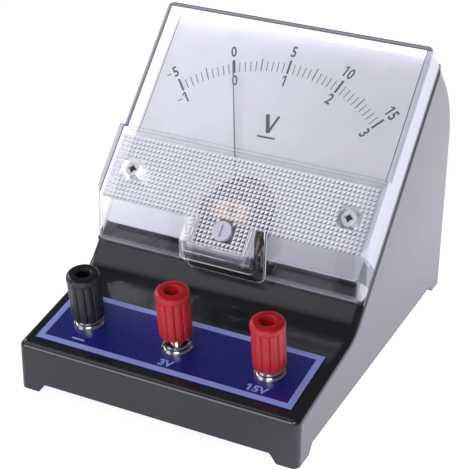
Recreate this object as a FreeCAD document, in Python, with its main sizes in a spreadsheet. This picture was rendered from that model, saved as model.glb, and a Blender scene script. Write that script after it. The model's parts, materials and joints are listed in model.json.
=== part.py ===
# Bench voltmeter: a moving-coil panel meter in a sloped-front moulded housing, with three binding posts.
# Millimetres, +Z up. The origin is the middle of the footprint, on the surface that the feet stand on.
# X runs to the right, Y to the back, so the binding posts face -Y.
import FreeCAD, Part
import os
import re
import Sketcher
from FreeCAD import Rotation, Vector

doc = FreeCAD.newDocument("bench_voltmeter")
sizes = doc.addObject("Spreadsheet::Sheet", "sizes")

# Driving dimensions: alias, value, meaning.
DRIVING = [
    ("case_width", 98.0, "housing, side to side"),
    ("case_depth", 128.0, "housing, front to back"),
    ("case_wall", 2.5, "moulded wall"),
    ("front_height", 17.2, "front wall up to the terrace"),
    ("terrace_slope", 8.35, "rise of the terrace, degrees"),
    ("terrace_length", 42.6, "terrace, front edge to fold"),
    ("face_slope", 45.8, "rise of the sloped face, degrees"),
    ("crest_setback", 19.62, "crest of the sloped face, in from the back"),
    ("back_fall", 46.0, "fall of the shoulder behind the crest, degrees"),
    ("back_lean", 1.8, "back wall leans in by this at shoulder height"),
    ("shoulder_round", 38.0, "arc from shoulder to back wall"),
    ("fold_round", 15.0, "hollow round between terrace and face"),
    ("rim_round", 2.4, "outer edges of the housing"),
    ("foot_height", 3.2, "clear height between the feet"),
    ("foot_width", 7.0, "feet, along the front"),
    ("foot_depth", 8.6, "feet, along the side"),
    ("foot_ramp", 2.4, "slant of the inner side of each foot"),
    ("base_gap", 0.3, "bottom plate to the housing walls"),
    ("base_thick", 2.0, "bottom plate"),
    ("base_round", 3.0, "corners of the bottom plate"),
    ("base_boss", 8.0, "square bosses that take the bottom screws"),
    ("base_boss_rise", 9.0, "height of those bosses"),
    ("base_screw_inset", 12.0, "bottom screws from the front and back"),
    ("small_shank", 1.3, "radius of the self-tapping screws"),
    ("small_head", 2.5, "head radius of the self-tapping screws"),
    ("small_head_thick", 1.4, "head thickness of the self-tapping screws"),
    ("screw_play", 0.3, "radius of a clearance hole over its screw"),
    ("pilot_play", 0.05, "radius of a pilot hole over its screw"),
    ("tip_room", 1.0, "blind end left past each screw tip"),
    ("cross_width", 0.8, "width of a cross recess"),
    ("cross_length", 3.04, "length of a cross recess"),
    ("cross_deep", 0.7, "depth of a cross recess"),
    ("label_inset", 4.4, "terminal label, in from each side of the housing"),
    ("label_start", 4.0, "label, from the front edge of the terrace"),
    ("label_length", 25.8, "label, along the terrace"),
    ("label_thick", 0.4, "label plate"),
    ("post_inset", 17.0, "outer binding posts, in from the sides of the housing"),
    ("post_place", 16.5, "binding posts, from the front edge"),
    ("stud_radius", 2.0, "M4 stud"),
    ("stud_below", 11.0, "stud, below the terrace"),
    ("collar_radius", 5.0, "flange under each cap"),
    ("collar_neck", 4.3, "upper ring of the flange"),
    ("collar_thick", 1.2, "flange thickness"),
    ("collar_rise", 2.6, "flange with its upper ring"),
    ("post_hole_play", 0.2, "hole in the terrace over the stud"),
    ("washer_thick", 0.8, "washer under the terrace"),
    ("washer_radius", 4.5, "washer"),
    ("tag_thick", 0.5, "solder tag"),
    ("tag_length", 8.0, "solder tag, from the stud axis"),
    ("tag_inset", 0.6, "eye of a solder tag inside its washer"),
    ("nut_thick", 3.2, "M4 nut"),
    ("nut_width", 7.0, "M4 nut across flats"),
    ("cap_length", 17.0, "binding post cap"),
    ("cap_radius", 5.5, "cap at its smooth top ring"),
    ("cap_flute_radius", 5.3, "cap over the flutes"),
    ("cap_ring", 2.2, "smooth ring at the top"),
    ("cap_mouth", 2.5, "hole in the top of the cap"),
    ("cap_lip", 1.2, "plastic over and under the insert"),
    ("cap_chamfer", 0.8, "bottom edge of the cap"),
    ("flute_radius", 0.75, "groove between two flutes"),
    ("flute_count", 12.0, "grooves around a cap"),
    ("insert_radius", 3.0, "brass insert in the cap"),
    ("plug_radius", 2.0, "plug hole in the insert"),
    ("plug_deep", 8.0, "plug hole depth"),
    ("plug_web", 0.8, "brass left between plug hole and thread"),
    ("turn_play", 0.05, "running clearance, each side"),
    ("rise_common", 0.4, "black cap, backed off from its flange"),
    ("rise_three", 3.0, "3 V cap, backed off from its flange"),
    ("rise_fifteen", 0.9, "15 V cap, backed off from its flange"),
    ("resistor_radius", 1.5, "multiplier resistor body"),
    ("resistor_length", 10.0, "multiplier resistor body"),
    ("wire_radius", 0.4, "resistor lead"),
    ("cover_inset", 0.5, "clear cover, in from each side of the housing"),
    ("cover_wall", 1.8, "clear cover wall"),
    ("cover_foot", 10.4, "lower edge of the cover, up the face"),
    ("cover_overhang", 1.2, "upper edge of the cover, past the crest"),
    ("cover_rim", 2.0, "upright rim at the lower edge"),
    ("band_foot", 22.8, "fluted band starts, up the face"),
    ("band_top", 48.2, "fluted band ends, up the face"),
    ("jewel_air", 0.4, "front jewel screw to the cover's band"),
    ("window_step", 2.5, "window, below the band"),
    ("cover_corner", 3.2, "lower corners of the cover"),
    ("cover_edge", 0.9, "front edges of the cover"),
    ("cover_top_corner", 2.2, "upper corners of the cover"),
    ("seat_inset", 0.4, "seat of the cover, in from each side of the housing"),
    ("nose_width", 28.6, "nose in the middle of the lower wall"),
    ("nose_foot", 9.0, "lower end of the nose"),
    ("nose_chin", 8.7, "height of the chin of the nose"),
    ("nose_slant", 4.4, "slant from the chin to the front"),
    ("nose_round", 2.6, "rounded sides of the nose"),
    ("cover_screw_inset", 9.5, "cover screws, in from the sides of the cover"),
    ("cover_screw_rise", 34.0, "cover screws, up the face"),
    ("pillar_radius", 3.9, "pillar round a cover screw"),
    ("sink_radius", 3.1, "counterbore round the screw head"),
    ("sink_deep", 2.9, "counterbore depth"),
    ("plate_gap", 1.2, "scale plate to the side walls of the cover"),
    ("plate_foot", 16.3, "scale plate, lower edge up the face"),
    ("plate_top_gap", 0.3, "scale plate to the top wall of the cover"),
    ("plate_front", 4.6, "scale plate front, above the face"),
    ("plate_thick", 0.8, "scale plate"),
    ("plate_round", 1.5, "corners of the scale plate"),
    ("arch_half", 12.6, "half width of the arch"),
    ("arch_rise", 29.5, "centre of the arch, up the face"),
    ("pivot_rise", 27.8, "movement axis, up the face"),
    ("movement_hole", 15.0, "opening of the face round the movement"),
    ("boss_radius", 4.2, "bosses under the scale plate"),
    ("boss_deep", 4.0, "screw bosses below the wall"),
    ("movement_screw_x", 22.5, "movement screws from the axis"),
    ("frame_thick", 2.5, "movement frame flange"),
    ("frame_radius", 16.8, "movement frame flange"),
    ("frame_ear", 4.4, "ears for the movement screws"),
    ("cup_radius", 15.6, "outside of the frame cup"),
    ("cup_floor", 2.0, "floor under the yoke ring"),
    ("yoke_outer", 14.0, "yoke ring"),
    ("yoke_inner", 10.2, "yoke ring bore"),
    ("yoke_deep", 9.0, "yoke ring and core, along the axis"),
    ("core_radius", 7.0, "core magnet"),
    ("core_chamfer", 0.4, "chamfered ends of the core magnet"),
    ("spacer_width", 3.6, "spacers between core and yoke ring"),
    ("spacer_inset", 0.6, "spacers short of the core ends"),
    ("coil_width", 4.0, "coil former, across"),
    ("former_wall", 0.4, "coil former sheet"),
    ("coil_air", 0.6, "core to coil former"),
    ("coil_end_air", 0.8, "core end to coil former"),
    ("winding_thick", 1.4, "copper winding"),
    ("staff_radius", 0.5, "pivot staffs"),
    ("staff_tip", 0.6, "cone at each pivot"),
    ("staff_point", 0.05, "end of each cone"),
    ("tip_air", 0.1, "pivot tip to the bottom of its jewel"),
    ("seat_radius", 1.4, "pivot seats on the coil"),
    ("seat_thick", 0.4, "pivot seats on the coil"),
    ("pointer_air", 1.6, "scale plate to the pointer"),
    ("pointer_thick", 0.2, "pointer"),
    ("pointer_gap", 10.3, "tip of the upright pointer to the upper edge of the scale plate"),
    ("pointer_root", 0.6, "pointer width at the hub"),
    ("pointer_end", 0.3, "pointer width at its tip"),
    ("hub_radius", 1.6, "pointer hub"),
    ("arm_length", 8.2, "balance arms"),
    ("arm_width", 0.5, "balance arms"),
    ("weight_radius", 0.9, "balance weights"),
    ("weight_length", 1.6, "balance weights at the sides"),
    ("tail_weight_length", 2.8, "balance weight opposite the pointer"),
    ("weight_place", 6.2, "balance weights from the axis"),
    ("rest_angle", 20.65, "pointer at the zero mark, left of the middle"),
    ("spring_start", 1.2, "hairsprings, inner radius"),
    ("spring_pitch", 0.85, "hairsprings, growth in a turn"),
    ("spring_turns", 3.5, "turns of a hairspring"),
    ("spring_thick", 0.12, "hairspring ribbon"),
    ("spring_high", 0.4, "hairspring ribbon width"),
    ("spring_room", 0.9, "front hairspring, above the underside of the pointer"),
    ("rear_spring_level", 12.9, "rear hairspring, below the face"),
    ("bridge_room", 0.8, "underside of the top bridge, above that of the zero lever"),
    ("rear_bridge_air", 3.2, "coil to the rear bridge"),
    ("rear_jewel_rise", 0.6, "rear jewel above its bridge"),
    ("bridge_thick", 1.0, "bridges"),
    ("bridge_width", 6.0, "bridges"),
    ("bridge_reach", 11.6, "top bridge, outside of its legs"),
    ("leg_thick", 1.4, "legs of the top bridge"),
    ("bridge_foot", 13.8, "feet of the top bridge end here"),
    ("bridge_screw_x", 12.6, "bridge screws from the axis"),
    ("tiny_shank", 0.7, "bridge screws"),
    ("tiny_head", 0.95, "bridge screw heads"),
    ("tiny_head_thick", 0.8, "bridge screw heads"),
    ("tiny_length", 4.0, "bridge screws below their heads"),
    ("jewel_radius", 1.5, "jewel screws"),
    ("jewel_collar", 2.2, "collar that carries the zero lever"),
    ("jewel_drop", 0.5, "lower end of the front jewel screw, below the zero lever"),
    ("jewel_length", 2.8, "jewel screws"),
    ("jewel_cup", 0.75, "cone in each jewel"),
    ("jewel_slot", 0.5, "slot of the front jewel screw"),
    ("lever_room", 1.5, "underside of the zero lever, above the front hairspring"),
    ("lever_thick", 0.5, "zero lever"),
    ("lever_ring", 3.0, "zero lever round the jewel"),
    ("lever_width", 3.4, "zero lever at the fork"),
    ("lever_end", 9.9, "fork end from the axis"),
    ("lever_post", 0.4, "spring post of the lever"),
    ("adjuster_rise", 19.9, "zero adjuster, up the face"),
    ("adjuster_head", 3.35, "zero adjuster head"),
    ("adjuster_neck", 2.2, "zero adjuster neck"),
    ("adjuster_lip", 2.8, "snap lip inside the cover"),
    ("adjuster_seat", 0.7, "recess under the head"),
    ("adjuster_proud", 0.5, "head above the band"),
    ("slot_length", 4.2, "slot in the adjuster head"),
    ("slot_width", 0.7, "slot in the adjuster head"),
    ("slot_deep", 0.8, "slot in the adjuster head"),
    ("lip_thick", 0.6, "snap lip inside the cover"),
    ("wire_end", 5.0, "resistor lead past its body"),
    ("pin_radius", 0.6, "eccentric pin"),
    ("pin_offset", 0.6, "eccentric pin from the adjuster axis"),
    ("pin_play", 0.12, "fork over the pin, each side"),
    ("stop_angle", 50.0, "pointer stops from the middle"),
    ("stop_place", 17.5, "pointer stops from the axis"),
    ("stop_radius", 0.5, "pointer stops"),
    ("stop_rise", 2.6, "pointer stops above the scale plate"),
    ("collar_bevel", 0.42, "bevels of a flange"),
    ("crown_round", 1.21, "rounded rim on top of a cap"),
    ("flute_out", 0.26, "middle of a flute, outside the cap"),
    ("tag_width", 2.4, "tail of a solder tag"),
    ("lead_lap", 1.0, "resistor lead lies this far on a tag"),
    ("nose_wall", 0.72, "slanted wall of the nose, measured up the face"),
    ("nose_gate", 3.0, "opening from the nose into the band"),
    ("winding_inset", 0.2, "winding, short of each edge of its former"),
    ("lever_neck", 2.38, "zero lever at the hairspring post"),
    ("fork_slot", 4.0, "slot of the fork"),
    ("fork_room", 0.6, "slot of the fork, past the pin towards the axis"),
    ("past", 1.0, "cutting outlines reach past the faces that they cut"),
]
for row, (alias, size, meaning) in enumerate(DRIVING, 1):
    sizes.set(f"A{row}", str(size))
    sizes.setAlias(f"A{row}", alias)
    sizes.set(f"B{row}", meaning)
doc.recompute()
ALIAS = re.compile(r"\b(" + "|".join(alias for alias, size, meaning in DRIVING) + r")\b")

# Sizes that follow from the driving ones.
DERIVED = {
    "pointer_level": "plate_front + pointer_air",
    "front_spring_level": "pointer_level + spring_room",
    "lever_level": "front_spring_level + lever_room",
    "bridge_level": "lever_level + bridge_room",
    "jewel_bottom": "lever_level - jewel_drop",
    "band_height": "jewel_bottom + jewel_length + jewel_air + cover_wall",
    "window_height": "band_height - window_step",
    "face_length": "(case_depth - crest_setback - terrace_length * cos(terrace_slope)) / cos(face_slope)",
    "fold_y": "terrace_length * cos(terrace_slope) - case_depth / 2",
    "fold_z": "front_height + terrace_length * sin(terrace_slope)",
    "crest_y": "case_depth / 2 - crest_setback",
    "crest_z": "fold_z + face_length * sin(face_slope)",
    "shoulder_y": "case_depth / 2 - back_lean",
    "shoulder_z": "crest_z - (shoulder_y - crest_y) * tan(back_fall)",
    "base_top": "foot_height + base_gap + base_thick",
    "boss_x": "case_width / 2 - case_wall - base_boss / 2",
    "boss_y": "case_depth / 2 - base_screw_inset",
    "label_width": "case_width - 2 * label_inset",
    "post_spacing": "case_width / 2 - post_inset",
    "collar_top": "label_thick + collar_rise",
    "stud_top": "collar_top + cap_length - cap_lip - 2 * turn_play - plug_deep - plug_web",
    "cover_width": "case_width - 2 * cover_inset",
    "cover_top": "face_length + cover_overhang",
    "cover_screw_x": "cover_width / 2 - cover_screw_inset",
    "wall_run": "band_foot - cover_foot",
    "wall_rise": "band_height - cover_rim",
    "plate_width": "cover_width - 2 * (cover_wall + plate_gap)",
    "plate_top": "cover_top - cover_wall - plate_top_gap",
    "plate_back": "plate_front - plate_thick",
    "pointer_length": "plate_top - pivot_rise - pointer_gap",
    "rear_bridge": "yoke_deep + coil_end_air + former_wall + winding_thick + rear_bridge_air",
    "spring_end": "spring_start + spring_pitch * spring_turns",
}
NAMES = re.compile(r"\b(" + "|".join(DERIVED) + r")\b")

# The working frames: Z is the surface's outward normal and Y runs up the surface from its lower edge.
LEVEL = "placement(vector(0; 0; 0); vector(0; 0; 1); 0)"
TERRACE = "placement(vector(0; -case_depth / 2; front_height); vector(1; 0; 0); terrace_slope)"
FACE = "placement(vector(0; fold_y; fold_z); vector(1; 0; 0); face_slope)"


def shifted(frame, x="0", y="0", z="0", turn="0"):
    """A frame moved along its own axes and turned about its own normal."""
    return f"{frame} * placement(vector({x}; {y}; {z}); vector(0; 0; 1); {turn})"


AXIS = shifted(FACE, y="pivot_rise")
COIL = shifted(FACE, y="pivot_rise", turn="rest_angle")


def formula(text):
    """Write out the derived sizes of a formula and point every alias at the sheet."""
    written = str(text)
    while NAMES.search(written):
        written = NAMES.sub(lambda found: f"({DERIVED[found.group()]})", written)
    return ALIAS.sub(r"sizes.\1", written)


def value(text):
    """The number that a formula gives now."""
    return float(sizes.evalExpression(formula(text)))


def bind(item, **properties):
    """Bind properties of an object to formulas."""
    for name, text in properties.items():
        item.setExpression(name, formula(text))
    return item


def shift(item, x="0", y="0", z="0"):
    """Bind the place of a primitive inside its frame."""
    item.setExpression("Placement.Base.x", formula(x))
    item.setExpression("Placement.Base.y", formula(y))
    item.setExpression("Placement.Base.z", formula(z))
    return item


def cylinder(name, radius, height, x="0", y="0", z="0"):
    return shift(bind(doc.addObject("Part::Cylinder", name), Radius=radius, Height=height), x, y, z)


def cone(name, lower, upper, height, x="0", y="0", z="0"):
    item = doc.addObject("Part::Cone", name)
    return shift(bind(item, Radius1=lower, Radius2=upper, Height=height), x, y, z)


def block(name, length, width, height, x="0", y="0", z="0"):
    """A box with its middle over x, y and its underside at z."""
    item = bind(doc.addObject("Part::Box", name), Length=length, Width=width, Height=height)
    return shift(item, f"({x}) - ({length}) / 2", f"({y}) - ({width}) / 2", z)


def fuse(name, *pieces):
    joined = doc.addObject("Part::MultiFuse", name)
    joined.Shapes = list(pieces)
    joined.Refine = True
    return joined


def cut(name, base, *tools):
    result = doc.addObject("Part::Cut", name)
    result.Base = base
    result.Tool = tools[0] if len(tools) == 1 else fuse(f"{name}_tools", *tools)
    return result


def group(name, *pieces):
    """Separate like solids that share one node."""
    together = doc.addObject("Part::Compound", name)
    together.Links = list(pieces)
    return together


nodes = []


def node(label, item, frame=None):
    """Name a finished piece and stand it in its frame."""
    item.Label = label
    if frame:
        item.setExpression("Placement", formula(frame))
    nodes.append(item)
    return item


def body_for(name):
    return doc.addObject("PartDesign::Body", f"{name}_body")


def new_sketch(body, name, plane, frame=None):
    sketch = body.newObject("Sketcher::SketchObject", name)
    sketch.AttachmentSupport = [(origin_plane(body, plane), "")]
    sketch.MapMode = "FlatFace"
    if frame:
        sketch.setExpression("AttachmentOffset", formula(frame))
    return sketch


def origin_plane(body, plane):
    return next(item for item in body.Origin.OriginFeatures if item.Role == f"{plane}_Plane")


def hold_point(sketch, geometry, point, x, y):
    """Dimension one point of a sketch from its origin."""
    for kind, text in (("DistanceX", x), ("DistanceY", y)):
        index = sketch.addConstraint(Sketcher.Constraint(kind, -1, 1, geometry, point, value(text)))
        sketch.setExpression(f"Constraints[{index}]", formula(text))


def outline(body, name, plane, corners, frame=None):
    """A closed outline of straight lines through dimensioned corners."""
    sketch = new_sketch(body, name, plane, frame)
    places = [Vector(value(x), value(y), 0) for x, y in corners]
    count = len(places)
    for index in range(count):
        sketch.addGeometry(Part.LineSegment(places[index], places[(index + 1) % count]))
    for index in range(count):
        sketch.addConstraint(Sketcher.Constraint("Coincident", index, 2, (index + 1) % count, 1))
        hold_point(sketch, index, 1, *corners[index])
    return sketch


def rectangle(body, name, plane, left, right, low, high, frame=None):
    corners = [(left, low), (right, low), (right, high), (left, high)]
    return outline(body, name, plane, corners, frame)


def circles(body, name, plane, rows, frame=None):
    """Dimensioned circles: x, y, radius."""
    sketch = new_sketch(body, name, plane, frame)
    for index, (x, y, radius) in enumerate(rows):
        middle = Vector(value(x), value(y), 0)
        sketch.addGeometry(Part.Circle(middle, Vector(0, 0, 1), value(radius)))
        hold_point(sketch, index, 3, x, y)
        number = sketch.addConstraint(Sketcher.Constraint("Radius", index, value(radius)))
        sketch.setExpression(f"Constraints[{number}]", formula(radius))
    return sketch


def pad(body, name, sketch, length, middle=False, down=False):
    feature = body.newObject("PartDesign::Pad", name)
    feature.Profile = sketch
    feature.Midplane = middle
    feature.Reversed = down
    bind(feature, Length=length)
    doc.recompute()
    return feature


def pocket(body, name, sketch, length, middle=False, up=False):
    """Cut along the sketch normal: down from the sketch, or up, or both ways from it."""
    feature = body.newObject("PartDesign::Pocket", name)
    feature.Profile = sketch
    feature.Midplane = middle
    feature.Reversed = up
    bind(feature, Length=length)
    doc.recompute()
    return feature


def spin(body, name, sketch):
    """A full turn of a half outline about the body's upright axis."""
    feature = body.newObject("PartDesign::Revolution", name)
    feature.Profile = sketch
    feature.ReferenceAxis = (sketch, ["V_Axis"])
    feature.Angle = 360
    doc.recompute()
    return feature


def soften(body, name, radius, choose, kind="Fillet"):
    """Round or chamfer the edges of the tip that choose() picks by their middle and direction."""
    tip = body.Tip
    picked = []
    for number, edge in enumerate(tip.Shape.Edges, 1):
        middle = edge.valueAt((edge.FirstParameter + edge.LastParameter) / 2)
        if choose(edge, middle):
            picked.append(f"Edge{number}")
    feature = body.newObject(f"PartDesign::{kind}", name)
    feature.Base = (tip, picked)
    bind(feature, **{"Radius" if kind == "Fillet" else "Size": radius})
    doc.recompute()
    return feature


def along(edge, direction):
    """True for a straight edge that runs along a direction."""
    if edge.Curve.TypeId != "Part::GeomLine":
        return False
    return abs(edge.tangentAt(edge.FirstParameter).dot(direction)) > 0.999


def near(number, target, slack=0.05):
    return abs(number - target) < slack


X_WAY, Y_WAY, Z_WAY = Vector(1, 0, 0), Vector(0, 1, 0), Vector(0, 0, 1)
POSTS = [("common", "-post_spacing", "rise_common"), ("3v", "0", "rise_three"),
         ("15v", "post_spacing", "rise_fifteen")]
SIDES = [("left", "-1"), ("right", "1")]


def both_sides(x, y, radius):
    """The same circle left and right of the middle."""
    return [(f"{sign} * {x}", y, radius) for side, sign in SIDES]


def at_posts(radius):
    """The same circle under each binding post."""
    return [(x, "post_place", radius) for name, x, rise in POSTS]


def make_case():
    """Moulded housing: an open-bottomed shell with integral feet, bosses and the movement opening."""
    body = body_for("case")
    profile = outline(body, "case_profile", "YZ", [
        ("-case_depth / 2", "0"), ("-case_depth / 2", "front_height"), ("fold_y", "fold_z"),
        ("crest_y", "crest_z"), ("shoulder_y", "shoulder_z"), ("case_depth / 2", "0")])
    pad(body, "case_block", profile, "case_width", middle=True)

    def at_corner(y, z):
        def chosen(edge, middle):
            return along(edge, X_WAY) and near(middle.y, value(y)) and near(middle.z, value(z))
        return chosen

    soften(body, "shoulder_arc", "shoulder_round", at_corner("shoulder_y", "shoulder_z"))
    rounded = soften(body, "fold_arc", "fold_round", at_corner("fold_y", "fold_z"))
    underside = next(f"Face{number}" for number, face in enumerate(rounded.Shape.Faces, 1)
                     if near(face.CenterOfMass.z, 0) and abs(face.normalAt(0, 0).z) > 0.99)
    shell = body.newObject("PartDesign::Thickness", "case_shell")
    shell.Base = (rounded, [underside])
    shell.Reversed = True
    bind(shell, Value="case_wall")
    doc.recompute()

    half = value("case_width / 2")
    front = value("-case_depth / 2")

    def outer_rim(edge, middle):
        on_side = near(abs(middle.x), half) and middle.z > 0.01
        front_top = along(edge, X_WAY) and near(middle.y, front) and near(middle.z, value("front_height"))
        return on_side or front_top

    soften(body, "outer_rim", "rim_round", outer_rim)
    seat_half = "(case_width / 2 - seat_inset)"
    seat = rectangle(body, "cover_seat", "XY", f"-{seat_half}", seat_half, "cover_foot", "face_length", FACE)
    pad(body, "cover_seat_pad", seat, "rim_round", down=True)

    foot_inner = "(case_width / 2 - foot_width)"
    foot_end = "(case_depth / 2 - foot_depth)"
    across = outline(body, "front_notch", "XZ", [
        (f"-{foot_inner}", "-past"), (f"-{foot_inner}", "0"), (f"-{foot_inner} + foot_ramp", "foot_height"),
        (f"{foot_inner} - foot_ramp", "foot_height"), (foot_inner, "0"), (foot_inner, "-past")])
    pocket(body, "front_notch_cut", across, "case_depth + 2 * past", middle=True)
    lengthwise = outline(body, "side_notch", "YZ", [
        (f"-{foot_end}", "-past"), (f"-{foot_end}", "0"), (f"-{foot_end} + foot_ramp", "foot_height"),
        (f"{foot_end} - foot_ramp", "foot_height"), (foot_end, "0"), (foot_end, "-past")])
    pocket(body, "side_notch_cut", lengthwise, "case_width + 2 * past", middle=True)

    for number, (x_sign, y_sign) in enumerate([(-1, -1), (1, -1), (-1, 1), (1, 1)], 1):
        x, y = f"({x_sign} * boss_x)", f"({y_sign} * boss_y)"
        raised = "placement(vector(0; 0; base_top); vector(0; 0; 1); 0)"
        square = rectangle(body, f"base_boss_{number}", "XY", f"{x} - base_boss / 2", f"{x} + base_boss / 2",
                           f"{y} - base_boss / 2", f"{y} + base_boss / 2", raised)
        pad(body, f"base_boss_pad_{number}", square, "base_boss_rise")
        pilot = circles(body, f"base_pilot_{number}", "XY", [(x, y, "small_shank + pilot_play")], raised)
        pocket(body, f"base_pilot_cut_{number}", pilot, "base_boss_rise - tip_room", up=True)

    deep = shifted(FACE, z="-(case_wall + boss_deep)")
    cover_bosses = circles(body, "cover_bosses", "XY",
                           both_sides("cover_screw_x", "cover_screw_rise", "boss_radius"), deep)
    pad(body, "cover_boss_pads", cover_bosses, "case_wall + boss_deep + plate_back")
    inside = shifted(FACE, z="-case_wall")
    movement_bosses = circles(body, "movement_bosses", "XY",
                              both_sides("movement_screw_x", "pivot_rise", "boss_radius"), inside)
    pad(body, "movement_boss_pads", movement_bosses, "case_wall + plate_back")
    raised = shifted(FACE, z="plate_back")
    bore_size = "small_shank + pilot_play"
    cover_pilots = circles(body, "cover_pilots", "XY",
                           both_sides("cover_screw_x", "cover_screw_rise", bore_size), raised)
    pocket(body, "cover_pilot_cuts", cover_pilots, "case_wall + boss_deep + plate_back - tip_room")
    movement_pilots = circles(body, "movement_pilots", "XY",
                              both_sides("movement_screw_x", "pivot_rise", bore_size), inside)
    pocket(body, "movement_pilot_cuts", movement_pilots, "case_wall + plate_back - tip_room", up=True)
    opening = circles(body, "movement_opening", "XY", [("0", "pivot_rise", "movement_hole")],
                      shifted(FACE, z="past"))
    pocket(body, "movement_opening_cut", opening, "case_wall + 2 * past")
    post_holes = circles(body, "post_holes", "XY", at_posts("stud_radius + post_hole_play"),
                         shifted(TERRACE, z="past"))
    pocket(body, "post_hole_cuts", post_holes, "case_wall + 2 * past")
    node("case", body)


def cross_recess(name, top, x="0", y="0"):
    """Two crossed slots, as deep as a cross-head driver needs."""
    return [block(f"{name}_slot_a", "cross_length", "cross_width", "cross_deep", x, y, f"{top} - cross_deep"),
            block(f"{name}_slot_b", "cross_width", "cross_length", "cross_deep", x, y, f"{top} - cross_deep")]


def make_base():
    """Bottom plate inside the walls, held to the four bosses by screws from below."""
    body = body_for("base_plate")
    x, y = "(case_width / 2 - case_wall - base_gap)", "(case_depth / 2 - case_wall - base_gap)"
    level = "placement(vector(0; 0; foot_height + base_gap); vector(0; 0; 1); 0)"
    pad(body, "base_pad", rectangle(body, "base_outline", "XY", f"-{x}", x, f"-{y}", y, level), "base_thick")
    soften(body, "base_corners", "base_round", lambda edge, middle: along(edge, Z_WAY))
    places = [(f"({a} * boss_x)", f"({b} * boss_y)") for a in (-1, 1) for b in (-1, 1)]
    holes = circles(body, "base_holes", "XY", [(a, b, "small_shank + screw_play") for a, b in places], level)
    pocket(body, "base_hole_cuts", holes, "base_thick + past", up=True)
    node("base_plate", body)
    screws = []
    for number, (a, b) in enumerate(places, 1):
        under = "(foot_height + base_gap)"
        long = "base_thick + base_boss_rise - 2 * tip_room"
        shank = cylinder(f"base_shank_{number}", "small_shank", long, a, b, under)
        head = cylinder(f"base_head_{number}", "small_head", "small_head_thick", a, b,
                        f"{under} - small_head_thick")
        solid = fuse(f"base_screw_{number}", shank, head)
        slots = cross_recess(f"base_cross_{number}", f"{under} - small_head_thick + cross_deep", a, b)
        screws.append(cut(f"base_screw_cut_{number}", solid, *slots))
    node("base_screws", group("base_screw_set", *screws))


def make_label():
    """Printed plate on the terrace, clamped under the three flanges."""
    body = body_for("terminal_label")
    shape = rectangle(body, "label_outline", "XY", "-label_width / 2", "label_width / 2",
                      "label_start", "label_start + label_length")
    pad(body, "label_pad", shape, "label_thick")
    holes = circles(body, "label_holes", "XY", at_posts("stud_radius + post_hole_play"))
    pocket(body, "label_hole_cuts", holes, "label_thick + past", up=True)
    node("terminal_label", body, TERRACE)


def make_stud(name, x):
    """M4 stud with its bevelled flange."""
    body = body_for(f"stud_{name}")
    step, neck = "(label_thick + collar_thick)", "(label_thick + collar_rise)"
    half = outline(body, f"stud_{name}_half", "XZ", [
        ("0", "-stud_below"), ("stud_radius", "-stud_below"), ("stud_radius", "label_thick"),
        ("collar_radius", "label_thick"), ("collar_radius", f"{step} - collar_bevel"),
        ("collar_radius - collar_bevel", step), ("collar_neck", step),
        ("collar_neck", f"{neck} - collar_bevel"), ("collar_neck - collar_bevel", neck),
        ("stud_radius", neck), ("stud_radius", "stud_top"), ("0", "stud_top")])
    spin(body, f"stud_{name}_turned", half)
    node(f"stud_{name}", body, shifted(TERRACE, x, "post_place"))


def make_cap(name, x, rise):
    """Fluted cap moulded round a brass insert that screws onto the stud and takes a plug from above."""
    low = f"(label_thick + collar_rise + {rise})"
    high = f"({low} + cap_length)"
    seat = "(insert_radius + turn_play)"
    body = body_for(f"cap_{name}")
    half = outline(body, f"cap_{name}_half", "XZ", [
        ("stud_radius + 2 * turn_play", low), ("cap_flute_radius - cap_chamfer", low),
        ("cap_flute_radius", f"{low} + cap_chamfer"), ("cap_flute_radius", f"{high} - cap_ring"),
        ("cap_radius", f"{high} - cap_ring"), ("cap_radius", high), ("cap_mouth", high),
        ("cap_mouth", f"{high} - cap_lip"), (seat, f"{high} - cap_lip"), (seat, f"{low} + cap_lip"),
        ("stud_radius + 2 * turn_play", f"{low} + cap_lip")])
    spin(body, f"cap_{name}_turned", half)
    rim = value("cap_radius")

    def top_edge(edge, middle):
        return near(middle.z, value(high)) and near((middle.x ** 2 + middle.y ** 2) ** 0.5, rim)

    soften(body, f"cap_{name}_crown", "crown_round", top_edge)
    groove = circles(body, f"cap_{name}_groove", "XY",
                     [("cap_flute_radius + flute_out", "0", "flute_radius")],
                     shifted(LEVEL, z=f"{low} - past"))
    first = pocket(body, f"cap_{name}_groove_cut", groove, "cap_length - cap_ring + past", up=True)
    pattern = body.newObject("PartDesign::PolarPattern", f"cap_{name}_flutes")
    pattern.Originals = [first]
    pattern.Axis = (next(item for item in body.Origin.OriginFeatures if item.Role == "Z_Axis"), [""])
    pattern.Angle = 360
    bind(pattern, Occurrences="flute_count")
    body.Tip = pattern
    doc.recompute()
    place = shifted(TERRACE, x, "post_place")
    node(f"cap_{name}", body, place)

    length = "(cap_length - 2 * cap_lip - 2 * turn_play)"
    start = f"({low} + cap_lip + turn_play)"
    brass = cylinder(f"insert_{name}_tube", "insert_radius", length, z=start)
    thread = cylinder(f"insert_{name}_thread", "stud_radius + turn_play", f"{length} - plug_deep - plug_web",
                      z=start)
    plug = cylinder(f"insert_{name}_plug", "plug_radius", "plug_deep", z=f"{start} + {length} - plug_deep")
    node(f"insert_{name}", cut(f"insert_{name}_bored", brass, thread, plug), place)


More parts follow.
